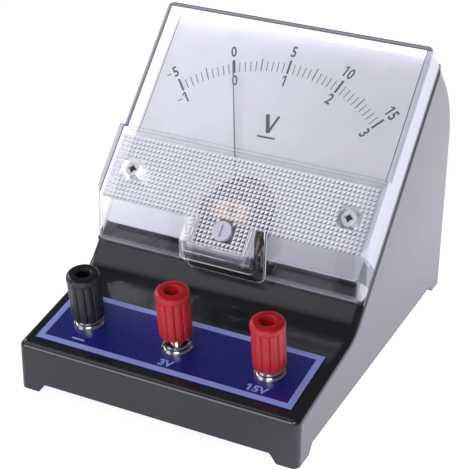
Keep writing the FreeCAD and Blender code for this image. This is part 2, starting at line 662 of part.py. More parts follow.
def make_post_hardware():
    """Washer, solder tag and nut under each post, each kind one group."""
    washers, tags, nuts = [], [], []
    for name, x, rise in POSTS:
        hole = "stud_radius + turn_play"
        top = "(-case_wall - washer_thick)"
        washers.append(cut(f"washer_{name}", cylinder(f"washer_disc_{name}", "washer_radius", "washer_thick",
                                                      x, "post_place", top),
                           cylinder(f"washer_hole_{name}", hole, "washer_thick", x, "post_place", top)))
        top = "(-case_wall - washer_thick - tag_thick)"
        eye = cylinder(f"tag_eye_{name}", "washer_radius - tag_inset", "tag_thick", x, "post_place", top)
        tail = block(f"tag_tail_{name}", "tag_width", "tag_length", "tag_thick",
                     x, "post_place + tag_length / 2", top)
        tags.append(cut(f"tag_{name}", fuse(f"tag_flat_{name}", eye, tail),
                        cylinder(f"tag_hole_{name}", hole, "tag_thick", x, "post_place", top)))
        top = "(-case_wall - washer_thick - tag_thick - nut_thick)"
        hexagon = bind(doc.addObject("Part::Prism", f"nut_hexagon_{name}"),
                       Circumradius="nut_width / sqrt(3)", Height="nut_thick")
        shift(hexagon, x, "post_place", top)
        nuts.append(cut(f"nut_{name}", hexagon,
                        cylinder(f"nut_hole_{name}", hole, "nut_thick", x, "post_place", top)))
    node("post_washers", group("post_washer_set", *washers), TERRACE)
    node("solder_tags", group("solder_tag_set", *tags), TERRACE)
    node("post_nuts", group("post_nut_set", *nuts), TERRACE)


def make_cover():
    """Clear cover: window, raised band, upright lower wall with its nose, and two screw pillars."""
    body = body_for("front_cover")
    nose = outline(body, "nose_profile", "YZ", [
        ("nose_foot", "0"), ("nose_foot", "nose_chin"), ("nose_foot + nose_slant", "band_height"),
        ("band_foot + nose_round", "band_height"), ("band_foot + nose_round", "0")])
    pad(body, "nose_block", nose, "nose_width", middle=True)
    nose_end = value("band_foot + nose_round")
    soften(body, "nose_sides", "nose_round", lambda edge, middle: near(abs(middle.x), value("nose_width / 2"))
           and 0.01 < middle.z and middle.y < nose_end - 0.01)
    band = outline(body, "band_profile", "YZ", [
        ("cover_foot", "0"), ("cover_foot", "cover_rim"), ("band_foot", "band_height"),
        ("band_top", "band_height"), ("band_top", "0")])
    pad(body, "band_block", band, "cover_width", middle=True)
    half, low, high = value("cover_width / 2"), value("band_foot"), value("cover_top")
    soften(body, "lower_corners", "cover_corner", lambda edge, middle: near(abs(middle.x), half)
           and middle.y < low and middle.z > 0.01)
    window = rectangle(body, "window_profile", "YZ", "band_top - cover_wall", "cover_top",
                       "0", "window_height")
    pad(body, "window_block", window, "cover_width", middle=True)
    soften(body, "top_corners", "cover_top_corner", lambda edge, middle: along(edge, Z_WAY)
           and near(abs(middle.x), half) and near(middle.y, high))
    soften(body, "window_edges", "cover_edge", lambda edge, middle: near(middle.z, value("window_height"))
           and (near(abs(middle.x), half) or near(middle.y, high)))

    shift_in = "(cover_wall * sqrt(wall_rise ^ 2 + wall_run ^ 2) / wall_rise)"
    inner = outline(body, "cover_hollow", "YZ", [
        (f"cover_foot + {shift_in} - wall_run / wall_rise * (cover_rim + past)", "-past"),
        (f"band_foot + {shift_in} - cover_wall * wall_run / wall_rise", "band_height - cover_wall"),
        ("band_top - cover_wall", "band_height - cover_wall"),
        ("band_top - cover_wall", "window_height - cover_wall"),
        ("cover_top - cover_wall", "window_height - cover_wall"), ("cover_top - cover_wall", "-past")])
    pocket(body, "cover_hollow_cut", inner, "cover_width - 2 * cover_wall", middle=True)
    nose_inner = outline(body, "nose_hollow", "YZ", [
        ("nose_foot + cover_wall", "-past"), ("nose_foot + cover_wall", "nose_chin - nose_wall"),
        ("nose_foot + nose_slant + nose_wall", "band_height - cover_wall"),
        ("band_foot + nose_gate", "band_height - cover_wall"), ("band_foot + nose_gate", "-past")])
    pocket(body, "nose_hollow_cut", nose_inner, "nose_width - 2 * cover_wall", middle=True)

    pillars = circles(body, "cover_pillars", "XY",
                      both_sides("cover_screw_x", "cover_screw_rise", "pillar_radius"),
                      shifted(LEVEL, z="plate_front"))
    pad(body, "cover_pillar_pads", pillars, "band_height - plate_front - cover_wall / 2")
    top = shifted(LEVEL, z="band_height")
    sinks = circles(body, "cover_sinks", "XY",
                    both_sides("cover_screw_x", "cover_screw_rise", "sink_radius"), top)
    pocket(body, "cover_sink_cuts", sinks, "sink_deep")
    holes = circles(body, "cover_screw_holes", "XY",
                    both_sides("cover_screw_x", "cover_screw_rise", "small_shank + screw_play"), top)
    pocket(body, "cover_screw_hole_cuts", holes, "band_height")
    seat = circles(body, "adjuster_recess", "XY", [("0", "adjuster_rise", "adjuster_head + turn_play")], top)
    pocket(body, "adjuster_recess_cut", seat, "adjuster_seat")
    bore = circles(body, "adjuster_bore", "XY", [("0", "adjuster_rise", "adjuster_neck + turn_play")], top)
    pocket(body, "adjuster_bore_cut", bore, "cover_wall + past")
    node("front_cover", body, FACE)

    head_foot = "(band_height - sink_deep)"
    for name, sign in SIDES:
        x, y = f"({sign} * cover_screw_x)", "cover_screw_rise"
        deep = f"({head_foot} + case_wall + boss_deep - 2 * tip_room)"
        shank = cylinder(f"cover_shank_{name}", "small_shank", deep, x, y, f"{head_foot} - {deep}")
        head = cylinder(f"cover_head_{name}", "small_head", "small_head_thick", x, y, head_foot)
        slots = cross_recess(f"cover_cross_{name}", f"{head_foot} + small_head_thick", x, y)
        solid = fuse(f"cover_screw_{name}_solid", shank, head)
        node(f"cover_screw_{name}", cut(f"cover_screw_{name}_cut", solid, *slots), FACE)


def make_adjuster():
    """Zero adjuster: slotted head, neck through the cover, snap lip and an eccentric pin."""
    inside = "(band_height - cover_wall)"
    seat = "(band_height - adjuster_seat)"
    head = cylinder("adjuster_head_disc", "adjuster_head", "adjuster_seat + adjuster_proud", z=seat)
    neck = cylinder("adjuster_neck_rod", "adjuster_neck", "cover_wall - adjuster_seat + turn_play",
                    z=f"{inside} - turn_play")
    lip = cylinder("adjuster_lip_disc", "adjuster_lip", "lip_thick", z=f"{inside} - turn_play - lip_thick")
    pin = cylinder("adjuster_pin", "pin_radius", f"{inside} - turn_play - lip_thick - lever_level",
                   y="-pin_offset", z="lever_level")
    slot = block("adjuster_slot", "slot_width", "slot_length", "slot_deep",
                 z="band_height + adjuster_proud - slot_deep")
    solid = fuse("adjuster_solid", head, neck, lip, pin)
    node("zero_adjuster", cut("zero_adjuster_cut", solid, slot), shifted(FACE, y="adjuster_rise"))


def make_scale_plate():
    """Aluminium scale plate with the arch, clamped between the bosses and the cover pillars."""
    body = body_for("scale_plate")
    lifted = shifted(LEVEL, z="plate_back")
    sheet = rectangle(body, "plate_outline", "XY", "-plate_width / 2", "plate_width / 2",
                      "plate_foot", "plate_top", lifted)
    pad(body, "plate_pad", sheet, "plate_thick")
    soften(body, "plate_corners", "plate_round", lambda edge, middle: along(edge, Z_WAY))
    arch = circles(body, "arch_round", "XY", [("0", "arch_rise", "arch_half")], lifted)
    pocket(body, "arch_round_cut", arch, "plate_thick + past", up=True)
    gate = rectangle(body, "arch_gate", "XY", "-arch_half", "arch_half",
                     "plate_foot - past", "arch_rise", lifted)
    pocket(body, "arch_gate_cut", gate, "plate_thick + past", up=True)
    holes = circles(body, "plate_holes", "XY",
                    both_sides("cover_screw_x", "cover_screw_rise", "small_shank + screw_play"), lifted)
    pocket(body, "plate_hole_cuts", holes, "plate_thick + past", up=True)
    stops = []
    for name, sign in SIDES:
        x = f"({sign} * stop_place * sin(stop_angle))"
        y = "(stop_place * cos(stop_angle))"
        stops.append(cylinder(f"stop_{name}", "stop_radius", "stop_rise", x, y, "plate_front"))
    node("scale_plate", body, FACE)
    node("pointer_stops", group("pointer_stop_set", *stops), AXIS)


def make_fixed_movement():
    """Frame cup, yoke ring, core magnet with its spacers, bridges and jewel screws."""
    flange = cylinder("frame_flange", "frame_radius", "frame_thick", z="-case_wall - frame_thick")
    ears = block("frame_ears", "2 * (movement_screw_x + frame_ear)", "2 * frame_ear", "frame_thick",
                 z="-case_wall - frame_thick")
    cup = cylinder("frame_cup", "cup_radius", "yoke_deep + cup_floor - case_wall",
                   z="-(yoke_deep + cup_floor)")
    ring_seat = cylinder("frame_ring_seat", "yoke_outer + turn_play", "yoke_deep", z="-yoke_deep")
    throat = cylinder("frame_throat", "yoke_inner", "cup_floor", z="-(yoke_deep + cup_floor)")
    holes = [cylinder(f"frame_hole_{name}", "small_shank + screw_play", "frame_thick",
                      x=f"{sign} * movement_screw_x", z="-case_wall - frame_thick") for name, sign in SIDES]
    node("movement_frame", cut("movement_frame_cut", fuse("movement_frame_solid", flange, ears, cup),
                               ring_seat, throat, *holes), AXIS)
    screws = []
    for name, sign in SIDES:
        x = f"({sign} * movement_screw_x)"
        head_foot = "(-case_wall - frame_thick - small_head_thick)"
        head = cylinder(f"movement_head_{name}", "small_head", "small_head_thick", x, "0", head_foot)
        long = "frame_thick + case_wall + plate_back - 2 * tip_room"
        shank = cylinder(f"movement_shank_{name}", "small_shank", long, x, "0", "-case_wall - frame_thick")
        slots = cross_recess(f"movement_cross_{name}", f"{head_foot} + cross_deep", x)
        solid = fuse(f"movement_screw_solid_{name}", head, shank)
        screws.append(cut(f"movement_screw_{name}", solid, *slots))
    node("movement_screws", group("movement_screw_set", *screws), AXIS)

    ring = cylinder("yoke_disc", "yoke_outer", "yoke_deep", z="-yoke_deep")
    bore = cylinder("yoke_bore", "yoke_inner", "yoke_deep", z="-yoke_deep")
    pilots = [cylinder(f"yoke_pilot_{name}", "tiny_shank + pilot_play", "tiny_length",
                       x=f"{sign} * bridge_screw_x", z="-tiny_length") for name, sign in SIDES]
    node("yoke_ring", cut("yoke_ring_cut", ring, bore, *pilots), AXIS)
    body = body_for("core_magnet")
    disc = circles(body, "core_round", "XY", [("0", "0", "core_radius")], shifted(LEVEL, z="-yoke_deep"))
    pad(body, "core_rod", disc, "yoke_deep")
    soften(body, "core_ends", "core_chamfer", lambda edge, middle: edge.Closed, kind="Chamfer")
    node("core_magnet", body, AXIS)
    for name, sign in (("upper", "1"), ("lower", "-1")):
        high = "(yoke_deep - 2 * spacer_inset)"
        low = "(spacer_inset - yoke_deep)"
        disc = cylinder(f"spacer_disc_{name}", "yoke_inner", high, z=low)
        hole = cylinder(f"spacer_hole_{name}", "core_radius", high, z=low)
        strip = block(f"spacer_strip_{name}", "spacer_width", "yoke_inner", high,
                      y=f"{sign} * yoke_inner / 2", z=low)
        shape = doc.addObject("Part::Common", f"spacer_{name}")
        shape.Base = cut(f"spacer_ring_{name}", disc, hole)
        shape.Tool = strip
        node(f"core_spacer_{name}", shape, AXIS)

    bar = block("bridge_bar", "2 * bridge_reach", "bridge_width", "bridge_thick", z="bridge_level")
    parts = [bar]
    for name, sign in SIDES:
        parts.append(block(f"bridge_leg_{name}", "leg_thick", "bridge_width", "bridge_level",
                           x=f"{sign} * (bridge_reach - leg_thick / 2)"))
        parts.append(block(f"bridge_foot_{name}", "bridge_foot - bridge_reach + leg_thick", "bridge_width",
                           "bridge_thick", x=f"{sign} * (bridge_foot + bridge_reach - leg_thick) / 2"))
    openings = [cylinder("bridge_hole", "jewel_radius + pilot_play", "bridge_thick", z="bridge_level")]
    openings += [cylinder(f"bridge_screw_hole_{name}", "tiny_shank + pilot_play", "bridge_thick",
                          x=f"{sign} * bridge_screw_x") for name, sign in SIDES]
    node("top_bridge", cut("top_bridge_cut", fuse("top_bridge_solid", *parts), *openings), AXIS)
    screws = []
    for name, sign in SIDES:
        x = f"({sign} * bridge_screw_x)"
        head = cylinder(f"bridge_head_{name}", "tiny_head", "tiny_head_thick", x, "0", "bridge_thick")
        shank = cylinder(f"bridge_shank_{name}", "tiny_shank", "tiny_length", x, "0",
                         "bridge_thick - tiny_length")
        screws.append(fuse(f"bridge_screw_{name}", head, shank))
    node("bridge_screws", group("bridge_screw_set", *screws), AXIS)

    rear_level = "(-rear_bridge)"
    below = "(-rear_bridge - bridge_thick)"
    bar = block("rear_bar", "bridge_width", "2 * yoke_outer", "bridge_thick", z=below)
    legs = [block(f"rear_leg_{name}", "bridge_width", "leg_thick", "rear_bridge - yoke_deep - cup_floor",
                  y=f"{sign} * (yoke_outer - leg_thick / 2)", z=rear_level) for name, sign in SIDES]
    anchor = cylinder("rear_anchor", "lever_post", "rear_bridge - rear_spring_level",
                      y="spring_end", z=rear_level)
    hole = cylinder("rear_hole", "jewel_radius + pilot_play", "bridge_thick", z=below)
    solid = fuse("bottom_bridge_solid", bar, anchor, *legs)
    node("bottom_bridge", cut("bottom_bridge_cut", solid, hole), AXIS)

    stem = cylinder("front_jewel_stem", "jewel_radius", "jewel_length", z="jewel_bottom")
    collar = cylinder("front_jewel_collar", "jewel_collar", "lever_level - jewel_bottom - turn_play",
                      z="jewel_bottom")
    dimple = cone("front_jewel_dimple", "staff_radius + 2 * turn_play", "0", "jewel_cup", z="jewel_bottom")
    slot = block("front_jewel_slot", "2 * (jewel_radius + jewel_slot)", "jewel_slot", "jewel_slot",
                 z="jewel_bottom + jewel_length - jewel_slot")
    node("front_jewel", cut("front_jewel_cut", fuse("front_jewel_solid", stem, collar), dimple, slot), AXIS)
    top = f"({rear_level} + rear_jewel_rise)"
    stem = cylinder("rear_jewel_stem", "jewel_radius", "jewel_length", z=f"{top} - jewel_length")
    dimple = cone("rear_jewel_dimple", "0", "staff_radius + 2 * turn_play", "jewel_cup",
                  z=f"{top} - jewel_cup")
    node("rear_jewel", cut("rear_jewel_cut", stem, dimple), AXIS)


def coil_loop(name, half, end, wall, height):
    """A rectangular loop round the core: inner half width, end clearance and wall."""
    outer = block(f"{name}_outer", f"2 * ({half} + {wall})", height, f"yoke_deep + 2 * ({end} + {wall})",
                  z=f"-(yoke_deep + {end} + {wall})")
    inner = block(f"{name}_inner", f"2 * {half}", height, f"yoke_deep + 2 * {end}", z=f"-(yoke_deep + {end})")
    return cut(f"{name}_loop", outer, inner)


def make_moving_coil():
    """Coil former, winding, pivots, pointer with balance arms, weights and hairsprings."""
    half = "(core_radius + coil_air)"
    node("coil_former", coil_loop("former", half, "coil_end_air", "former_wall", "coil_width"), COIL)
    outside = f"({half} + former_wall)"
    end = "(coil_end_air + former_wall)"
    node("coil_winding", coil_loop("winding", outside, end, "winding_thick",
                                   "coil_width - 2 * winding_inset"), COIL)

    top = f"({end} + winding_thick)"
    seat = cylinder("front_seat", "seat_radius", "seat_thick", z=top)
    staff = cylinder("front_staff", "staff_radius", f"jewel_bottom - {top} - tip_air", z=top)
    tip = cone("front_tip", "staff_radius", "staff_point", "staff_tip", z="jewel_bottom - tip_air")
    collet = cylinder("front_collet", "spring_start - 2 * spring_thick", "spring_high",
                      z="front_spring_level")
    node("front_pivot", fuse("front_pivot_solid", seat, staff, tip, collet), COIL)
    low = f"(-yoke_deep - {top})"
    seat = cylinder("rear_seat", "seat_radius", "seat_thick", z=f"{low} - seat_thick")
    tip_top = "(rear_jewel_rise - rear_bridge + tip_air)"
    staff = cylinder("rear_staff", "staff_radius", f"{low} - {tip_top}", z=tip_top)
    tip = cone("rear_tip", "staff_point", "staff_radius", "staff_tip", z=f"{tip_top} - staff_tip")
    collet = cylinder("rear_collet", "spring_start - 2 * spring_thick", "spring_high", z="-rear_spring_level")
    node("rear_pivot", fuse("rear_pivot_solid", seat, staff, tip, collet), COIL)

    body = body_for("pointer")
    lifted = shifted(LEVEL, z="pointer_level")
    blade = outline(body, "pointer_blade", "XY", [
        ("-pointer_root / 2", "0"), ("pointer_root / 2", "0"), ("pointer_end / 2", "pointer_length"),
        ("-pointer_end / 2", "pointer_length")], lifted)
    pad(body, "pointer_blade_pad", blade, "pointer_thick")
    half_arm = "arm_width / 2"
    tail = rectangle(body, "pointer_tail", "XY", f"-{half_arm}", half_arm, "-arm_length", "0", lifted)
    pad(body, "pointer_tail_pad", tail, "pointer_thick")
    arms = rectangle(body, "pointer_arms", "XY", "-arm_length", "arm_length",
                     f"-{half_arm}", half_arm, lifted)
    pad(body, "pointer_arm_pad", arms, "pointer_thick")
    hub = circles(body, "pointer_hub", "XY", [("0", "0", "hub_radius")], lifted)
    pad(body, "pointer_hub_pad", hub, "pointer_thick")
    hole = circles(body, "pointer_hole", "XY", [("0", "0", "staff_radius")], lifted)
    pocket(body, "pointer_hole_cut", hole, "pointer_thick + past", up=True)
    node("pointer", body, COIL)

    weights = []
    for turn, length in [(0, "weight_length"), (90, "tail_weight_length"), (180, "weight_length")]:
        rod = cylinder(f"weight_rod_{turn}", "weight_radius", length)
        rod.Placement.Rotation = Rotation(Y_WAY, 90)
        shift(rod, f"weight_place - {length} / 2", "0", "pointer_level + pointer_thick / 2")
        arm = block(f"weight_slot_{turn}", f"{length} + 2 * past", "arm_width", "pointer_thick",
                    x="weight_place", z="pointer_level")
        threaded = cut(f"weight_{turn}", rod, arm)
        threaded.Placement.Rotation = Rotation(Z_WAY, -turn)
        weights.append(threaded)
    node("balance_weights", group("balance_weight_set", *weights), COIL)
    turned = shifted(AXIS, turn="90 - 360 * spring_turns")
    node("front_hairspring", hairspring("front", "front_spring_level"), turned)
    node("rear_hairspring", hairspring("rear", "-rear_spring_level"), turned)


def hairspring(name, level):
    """A flat ribbon wound into an Archimedean spiral, swept round its own path."""
    path = bind(doc.addObject("Part::Spiral", f"{name}_spring_path"), Growth="spring_pitch",
                Rotations="spring_turns", Radius="spring_start")
    shift(path, z=level)
    ribbon = doc.addObject("Part::Plane", f"{name}_spring_ribbon")
    bind(ribbon, Length="spring_thick", Width="spring_high")
    ribbon.Placement.Rotation = Rotation(X_WAY, 90)
    shift(ribbon, "spring_start - spring_thick / 2", "0", level)
    spring = doc.addObject("Part::Sweep", f"{name}_spring")
    doc.recompute()
    spring.Sections = [ribbon]
    spring.Spine = (path, [f"Edge{number}" for number in range(1, len(path.Shape.Edges) + 1)])
    spring.Solid = True
    spring.Frenet = True
    return spring


def make_lever():
    """Zero lever: a ring round the front jewel, a fork for the adjuster pin and the hairspring post."""
    ring = cylinder("lever_ring_disc", "lever_ring", "lever_thick", z="lever_level")
    tail = block("lever_tail", "lever_width", "lever_end", "lever_thick", y="-lever_end / 2", z="lever_level")
    head = block("lever_head", "lever_neck", "spring_end", "lever_thick", y="spring_end / 2", z="lever_level")
    tip = cylinder("lever_tip", "lever_neck / 2", "lever_thick", y="spring_end", z="lever_level")
    post = cylinder("lever_post_rod", "lever_post", "lever_level - front_spring_level - spring_high",
                    y="spring_end", z="front_spring_level + spring_high")
    hole = cylinder("lever_hole", "jewel_radius + turn_play", "lever_thick", z="lever_level")
    reach = "(pivot_rise - adjuster_rise + pin_offset)"
    fork = block("lever_fork", "2 * (pin_radius + pin_play)", "fork_slot", "lever_thick",
                 y=f"-({reach} + fork_slot / 2 - pin_radius - fork_room)", z="lever_level")
    solid = fuse("zero_lever_solid", ring, tail, head, tip, post)
    node("zero_lever", cut("zero_lever_cut", solid, hole, fork), AXIS)


def make_resistors():
    """Range resistors in series: 15 V tag to 3 V tag, and 3 V tag back towards the movement."""
    level = "(-case_wall - washer_thick - tag_thick - wire_radius)"
    tag_end = "(post_place + tag_length - lead_lap)"
    bead = cylinder("multiplier_15v_bead", "resistor_radius", "resistor_length")
    lead = cylinder("multiplier_15v_lead", "wire_radius", "post_spacing")
    for item, length in ((bead, "resistor_length"), (lead, "post_spacing")):
        item.Placement.Rotation = Rotation(Y_WAY, 90)
        shift(item, f"post_spacing / 2 - ({length}) / 2", tag_end, level)
    node("multiplier_15v", fuse("multiplier_15v_solid", bead, lead), TERRACE)
    start = "(post_place + tag_length / 2)"
    bead = cylinder("multiplier_3v_bead", "resistor_radius", "resistor_length")
    lead = cylinder("multiplier_3v_lead", "wire_radius", "resistor_length + tag_length / 2 + 2 * wire_end")
    for item, place in ((bead, f"{start} + tag_length / 2 + wire_end"), (lead, start)):
        item.Placement.Rotation = Rotation(X_WAY, -90)
        shift(item, "-stud_radius / 2", place, level)
    node("multiplier_3v", fuse("multiplier_3v_solid", bead, lead), TERRACE)


make_case()
make_base()
make_label()
for post, post_x, post_rise in POSTS:
    make_stud(post, post_x)
    make_cap(post, post_x, post_rise)
make_post_hardware()
make_cover()
make_adjuster()
make_scale_plate()
make_fixed_movement()
make_moving_coil()
make_lever()
make_resistors()
doc.recompute()

for item in doc.Objects:
    if "Invalid" in item.State or "Error" in item.State:
        raise RuntimeError(f"{item.Label} failed: {item.State}")
os.makedirs("parts", exist_ok=True)
for item in nodes:
    if item.Shape.isNull() or not item.Shape.isValid():
        raise RuntimeError(f"{item.Label} has no valid shape")
    print(f"{item.Label:20s} solids {len(item.Shape.Solids)} volume {item.Shape.Volume:9.1f}")
    item.Shape.exportStep(f"parts/{item.Label}.step")
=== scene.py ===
"""The looks of a bench voltmeter: finishes, prints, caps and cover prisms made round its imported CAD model."""

import json
import math

import bpy
import numpy as np
from mathutils import Matrix


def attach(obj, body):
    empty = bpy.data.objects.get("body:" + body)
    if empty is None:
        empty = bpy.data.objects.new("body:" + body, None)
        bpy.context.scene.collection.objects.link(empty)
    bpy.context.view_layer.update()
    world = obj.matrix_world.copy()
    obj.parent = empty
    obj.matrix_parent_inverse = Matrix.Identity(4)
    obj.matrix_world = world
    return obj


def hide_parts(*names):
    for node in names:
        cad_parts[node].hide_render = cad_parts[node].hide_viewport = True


bl_info = {
    "name": "Bench voltmeter looks",
    "version": (1, 0, 0),
    "blender": (4, 5, 0),
    "location": "3D View > Sidebar > Voltmeter",
    "description": "Dresses the packed CAD model of an analog bench voltmeter",
    "category": "Object",
}

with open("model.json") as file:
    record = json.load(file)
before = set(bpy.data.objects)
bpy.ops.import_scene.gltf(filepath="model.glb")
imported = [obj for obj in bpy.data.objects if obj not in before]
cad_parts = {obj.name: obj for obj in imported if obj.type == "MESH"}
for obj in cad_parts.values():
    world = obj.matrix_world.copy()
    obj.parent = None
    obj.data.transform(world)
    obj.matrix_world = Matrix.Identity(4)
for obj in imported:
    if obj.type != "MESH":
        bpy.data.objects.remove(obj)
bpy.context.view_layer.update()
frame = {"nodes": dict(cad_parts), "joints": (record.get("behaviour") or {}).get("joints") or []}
MM = 0.001
POSTS = ("common", "3v", "15v")
# Millimetres: rises go up the face or the terrace, fronts and the underside stand above them.
PIVOT_RISE = 27.8
PILLAR_SIDE, PILLAR_RISE = 39.0, 34.0
ADJUSTER_RISE = 19.9
POST_RISE, CAP_FOOT = 16.5, 6.0
PLATE_FRONT, LABEL_FRONT = 4.6, 0.4
BAND_UNDERSIDE = 11.28
# Painted light: how bright the lower, right, upper and left facet of a prism is painted, for the light that
# each facet would catch.
FACET_PAINTED_LIGHT = (0.02, 0.0, 0.78, 1.0)
# Radius, height and share of the groove's depth, once round the section of a cap.
CAP_OUTLINE = (
    (2.1, 0.0, 0), (4.5, 0.0, 0), (4.9, 0.25, 0.5), (5.15, 0.55, 1), (5.3, 0.9, 1),
    (5.3, 5.0, 1), (5.3, 10.0, 1), (5.3, 14.2, 1), (5.33, 14.55, 0.6), (5.4, 14.75, 0.15),
    (5.5, 14.85, 0), (5.5, 15.6, 0), (5.46, 15.95, 0), (5.33, 16.3, 0), (5.12, 16.6, 0),
    (4.82, 16.83, 0), (4.45, 16.96, 0), (4.2, 17.0, 0), (2.75, 17.0, 0), (2.6, 16.95, 0),
    (2.5, 16.8, 0), (2.5, 15.8, 0), (3.05, 15.8, 0), (3.05, 1.2, 0), (2.1, 1.2, 0))
BLACK = (0.0, 0.0, 0.0)
# The next two colours are painted on the clear cover: a dark grey for painted shade lines, and a bright white
# for painted light.
SHADE_LINE_GREY = (0.07, 0.07, 0.08)
LIT_WHITE = (0.95, 0.95, 1.0)
SKY_TINT = (1.0, 1.0, 1.14)
LAMP_TINT = (1.0, 1.0, 1.12)


def joint(name):
    """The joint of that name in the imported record."""
    return next(j for j in frame["joints"] if j["name"] == name)


class Slope:
    """A flat of the instrument in millimetres: x to the right, u up the slope, n out of it."""

    def __init__(self, point, normal, u, n):
        self.normal = np.array(normal, float)
        self.up = np.cross(self.normal, (1.0, 0.0, 0.0))
        self.origin = np.array(point, float) / MM - u * self.up - n * self.normal
        self.origin[0] = 0.0

    def at(self, x, u, n):
        """Metres of x, u, n: the origin plus each number along its own direction."""
        x, u, n = np.broadcast_arrays(np.asarray(x, float), np.asarray(u, float), np.asarray(n, float))
        place = self.origin + u[..., None] * self.up + n[..., None] * self.normal
        place[..., 0] += x
        return place * MM


FACE = Slope(joint("pointer_swing")["pos_m"], [-c for c in joint("pointer_swing")["axis"]], PIVOT_RISE, 0.0)
TERRACE = Slope(joint("post_3v_turn")["pos_m"], joint("post_3v_turn")["axis"], POST_RISE, CAP_FOOT)


def length(name, default, description):
    """A length property in metres."""
    return bpy.props.FloatProperty(
        name=name, description=description, default=default, unit="LENGTH", precision=5)


def colour(name, default, description):
    """A linear colour property."""
    return bpy.props.FloatVectorProperty(
        name=name, description=description, default=default, size=3, subtype="COLOR", min=0.0, max=1.0)


def number(name, default, description):
    """A plain number property."""
    return bpy.props.FloatProperty(name=name, description=description, default=default)


class StageSettings(bpy.types.PropertyGroup):
    """Where the camera stands and how the floor, sky and lamps glow."""

    place: bpy.props.FloatVectorProperty(
        name="Camera place", description="Camera in the part's frame", size=3,
        default=(0.18309, -0.38386, 0.26324), subtype="TRANSLATION")
    azimuth: bpy.props.FloatProperty(
        name="Azimuth", description="Camera round the part", default=math.radians(25.95), subtype="ANGLE")
    elevation: bpy.props.FloatProperty(
        name="Elevation", description="Camera above the horizon", default=math.radians(28.0), subtype="ANGLE")
    roll: bpy.props.FloatProperty(
        name="Roll", description="Camera about its own axis", default=math.radians(0.71), subtype="ANGLE")
    lens: number("Lens", 110.64, "Focal length in millimetres on a 36 mm sensor")
    floor_glow: number("Floor glow", 0.82, "Radiance of the pale floor")
    side_glow: number("Side glow", 1.60, "Radiance of the floor behind the right side")
    sky_glow: number("Sky glow", 0.125, "Radiance of the sky overhead")
    horizon_glow: number("Horizon glow", 0.5, "Radiance of the sky near the horizon")
    softbox_glow: number("Softbox glow", 1.21, "Radiance of the large softbox over the front")
    front_glow: number("Front glow", 4.6, "Radiance of the two low lamps in front")
    back_glow: number("Back glow", 3.4, "Radiance of the lamp behind the left side")


class FinishSettings(bpy.types.PropertyGroup):
    """Colours of the mouldings, prints and metals."""

    housing: colour("Housing", (0.013, 0.013, 0.0145), "Moulded black of the housing")
    dust: colour("Dust", (0.16, 0.16, 0.17), "Dust and rubbed specks on black mouldings")
    label: colour("Label", (0.010, 0.013, 0.165), "Blue of the terminal label")
    label_print: colour("Label print", (0.30, 0.36, 0.72), "Border and marks of the terminal label")
    plate: colour("Scale plate", (0.84, 0.84, 0.86), "White paint of the scale plate")
    dial_print: colour("Dial print", (0.075, 0.075, 0.090), "Ticks and numerals")
    pointer: colour("Pointer", (0.17, 0.17, 0.19), "Painted pointer")
    red: colour("Red cap", (0.45, 0.005, 0.008), "Red binding post caps")
    black: colour("Black cap", (0.012, 0.012, 0.013), "Black binding post cap")
    nylon: colour("Adjuster", (0.59, 0.58, 0.66), "Pale zero adjuster")


class DetailSettings(bpy.types.PropertyGroup):
    """Sizes of the surfaces that the scene adds."""

    prism_pitch: length("Prism pitch", 0.00152, "One prism of the cover to the next")
    prism_depth: length("Prism depth", 0.00045, "Prisms below the inner side of the band")
    numeral_height: length("Numeral height", 0.0040, "Numerals of the dial")
    print_thickness: length("Print thickness", 0.00003, "Ink above its plate")
    tick_radius: length("Tick radius", 0.0571, "Outer end of the long ticks from the pivot")
    rib_groove: length("Rib groove", 0.00045, "Depth of the grooves between the ribs of a cap")


def settings(group):
    """The scene's settings of one group."""
    return getattr(bpy.context.scene, "voltmeter_" + group)


class Value:
    """A shader socket that Python arithmetic extends with Math nodes."""

    def __init__(self, recipe, socket):
        self.recipe = recipe
        self.socket = socket

    def math(self, operation, *terms):
        """A Math node on this value and further terms."""
        return self.recipe.add("Math", {"operation": operation}, dict(enumerate((self,) + terms)))

    def __add__(self, other):
        return self.math("ADD", other)

    __radd__ = __add__

    def __sub__(self, other):
        return self.math("SUBTRACT", other)

    def __rsub__(self, other):
        return self.recipe.add("Math", {"operation": "SUBTRACT"}, {0: other, 1: self})

    def __mul__(self, other):
        return self.math("MULTIPLY", other)

    __rmul__ = __mul__

    def away(self):
        """Distance from zero."""
        return self.math("ABSOLUTE")

    def most(self, other):
        """The larger of the two."""
        return self.math("MAXIMUM", other)

    def least(self, other):
        """The smaller of the two."""
        return self.math("MINIMUM", other)

    def ramp(self, start, end, low=0.0, high=1.0):
        """Goes smoothly from low to high as this value goes from start to end."""
        if start > end:
            start, end, low, high = end, start, high, low
        return self.recipe.add(
            "MapRange", {"interpolation_type": "SMOOTHSTEP"}, {0: self, 1: start, 2: end, 3: low, 4: high})

    def over(self, mask, other):
        """This value, turned into the other where the mask is 1."""
        return self + mask * (other - self)

    def within(self, low, high, soft):
        """1 between low and high, with soft edges."""
        return self.ramp(low - soft, low + soft) * self.ramp(high + soft, high - soft)


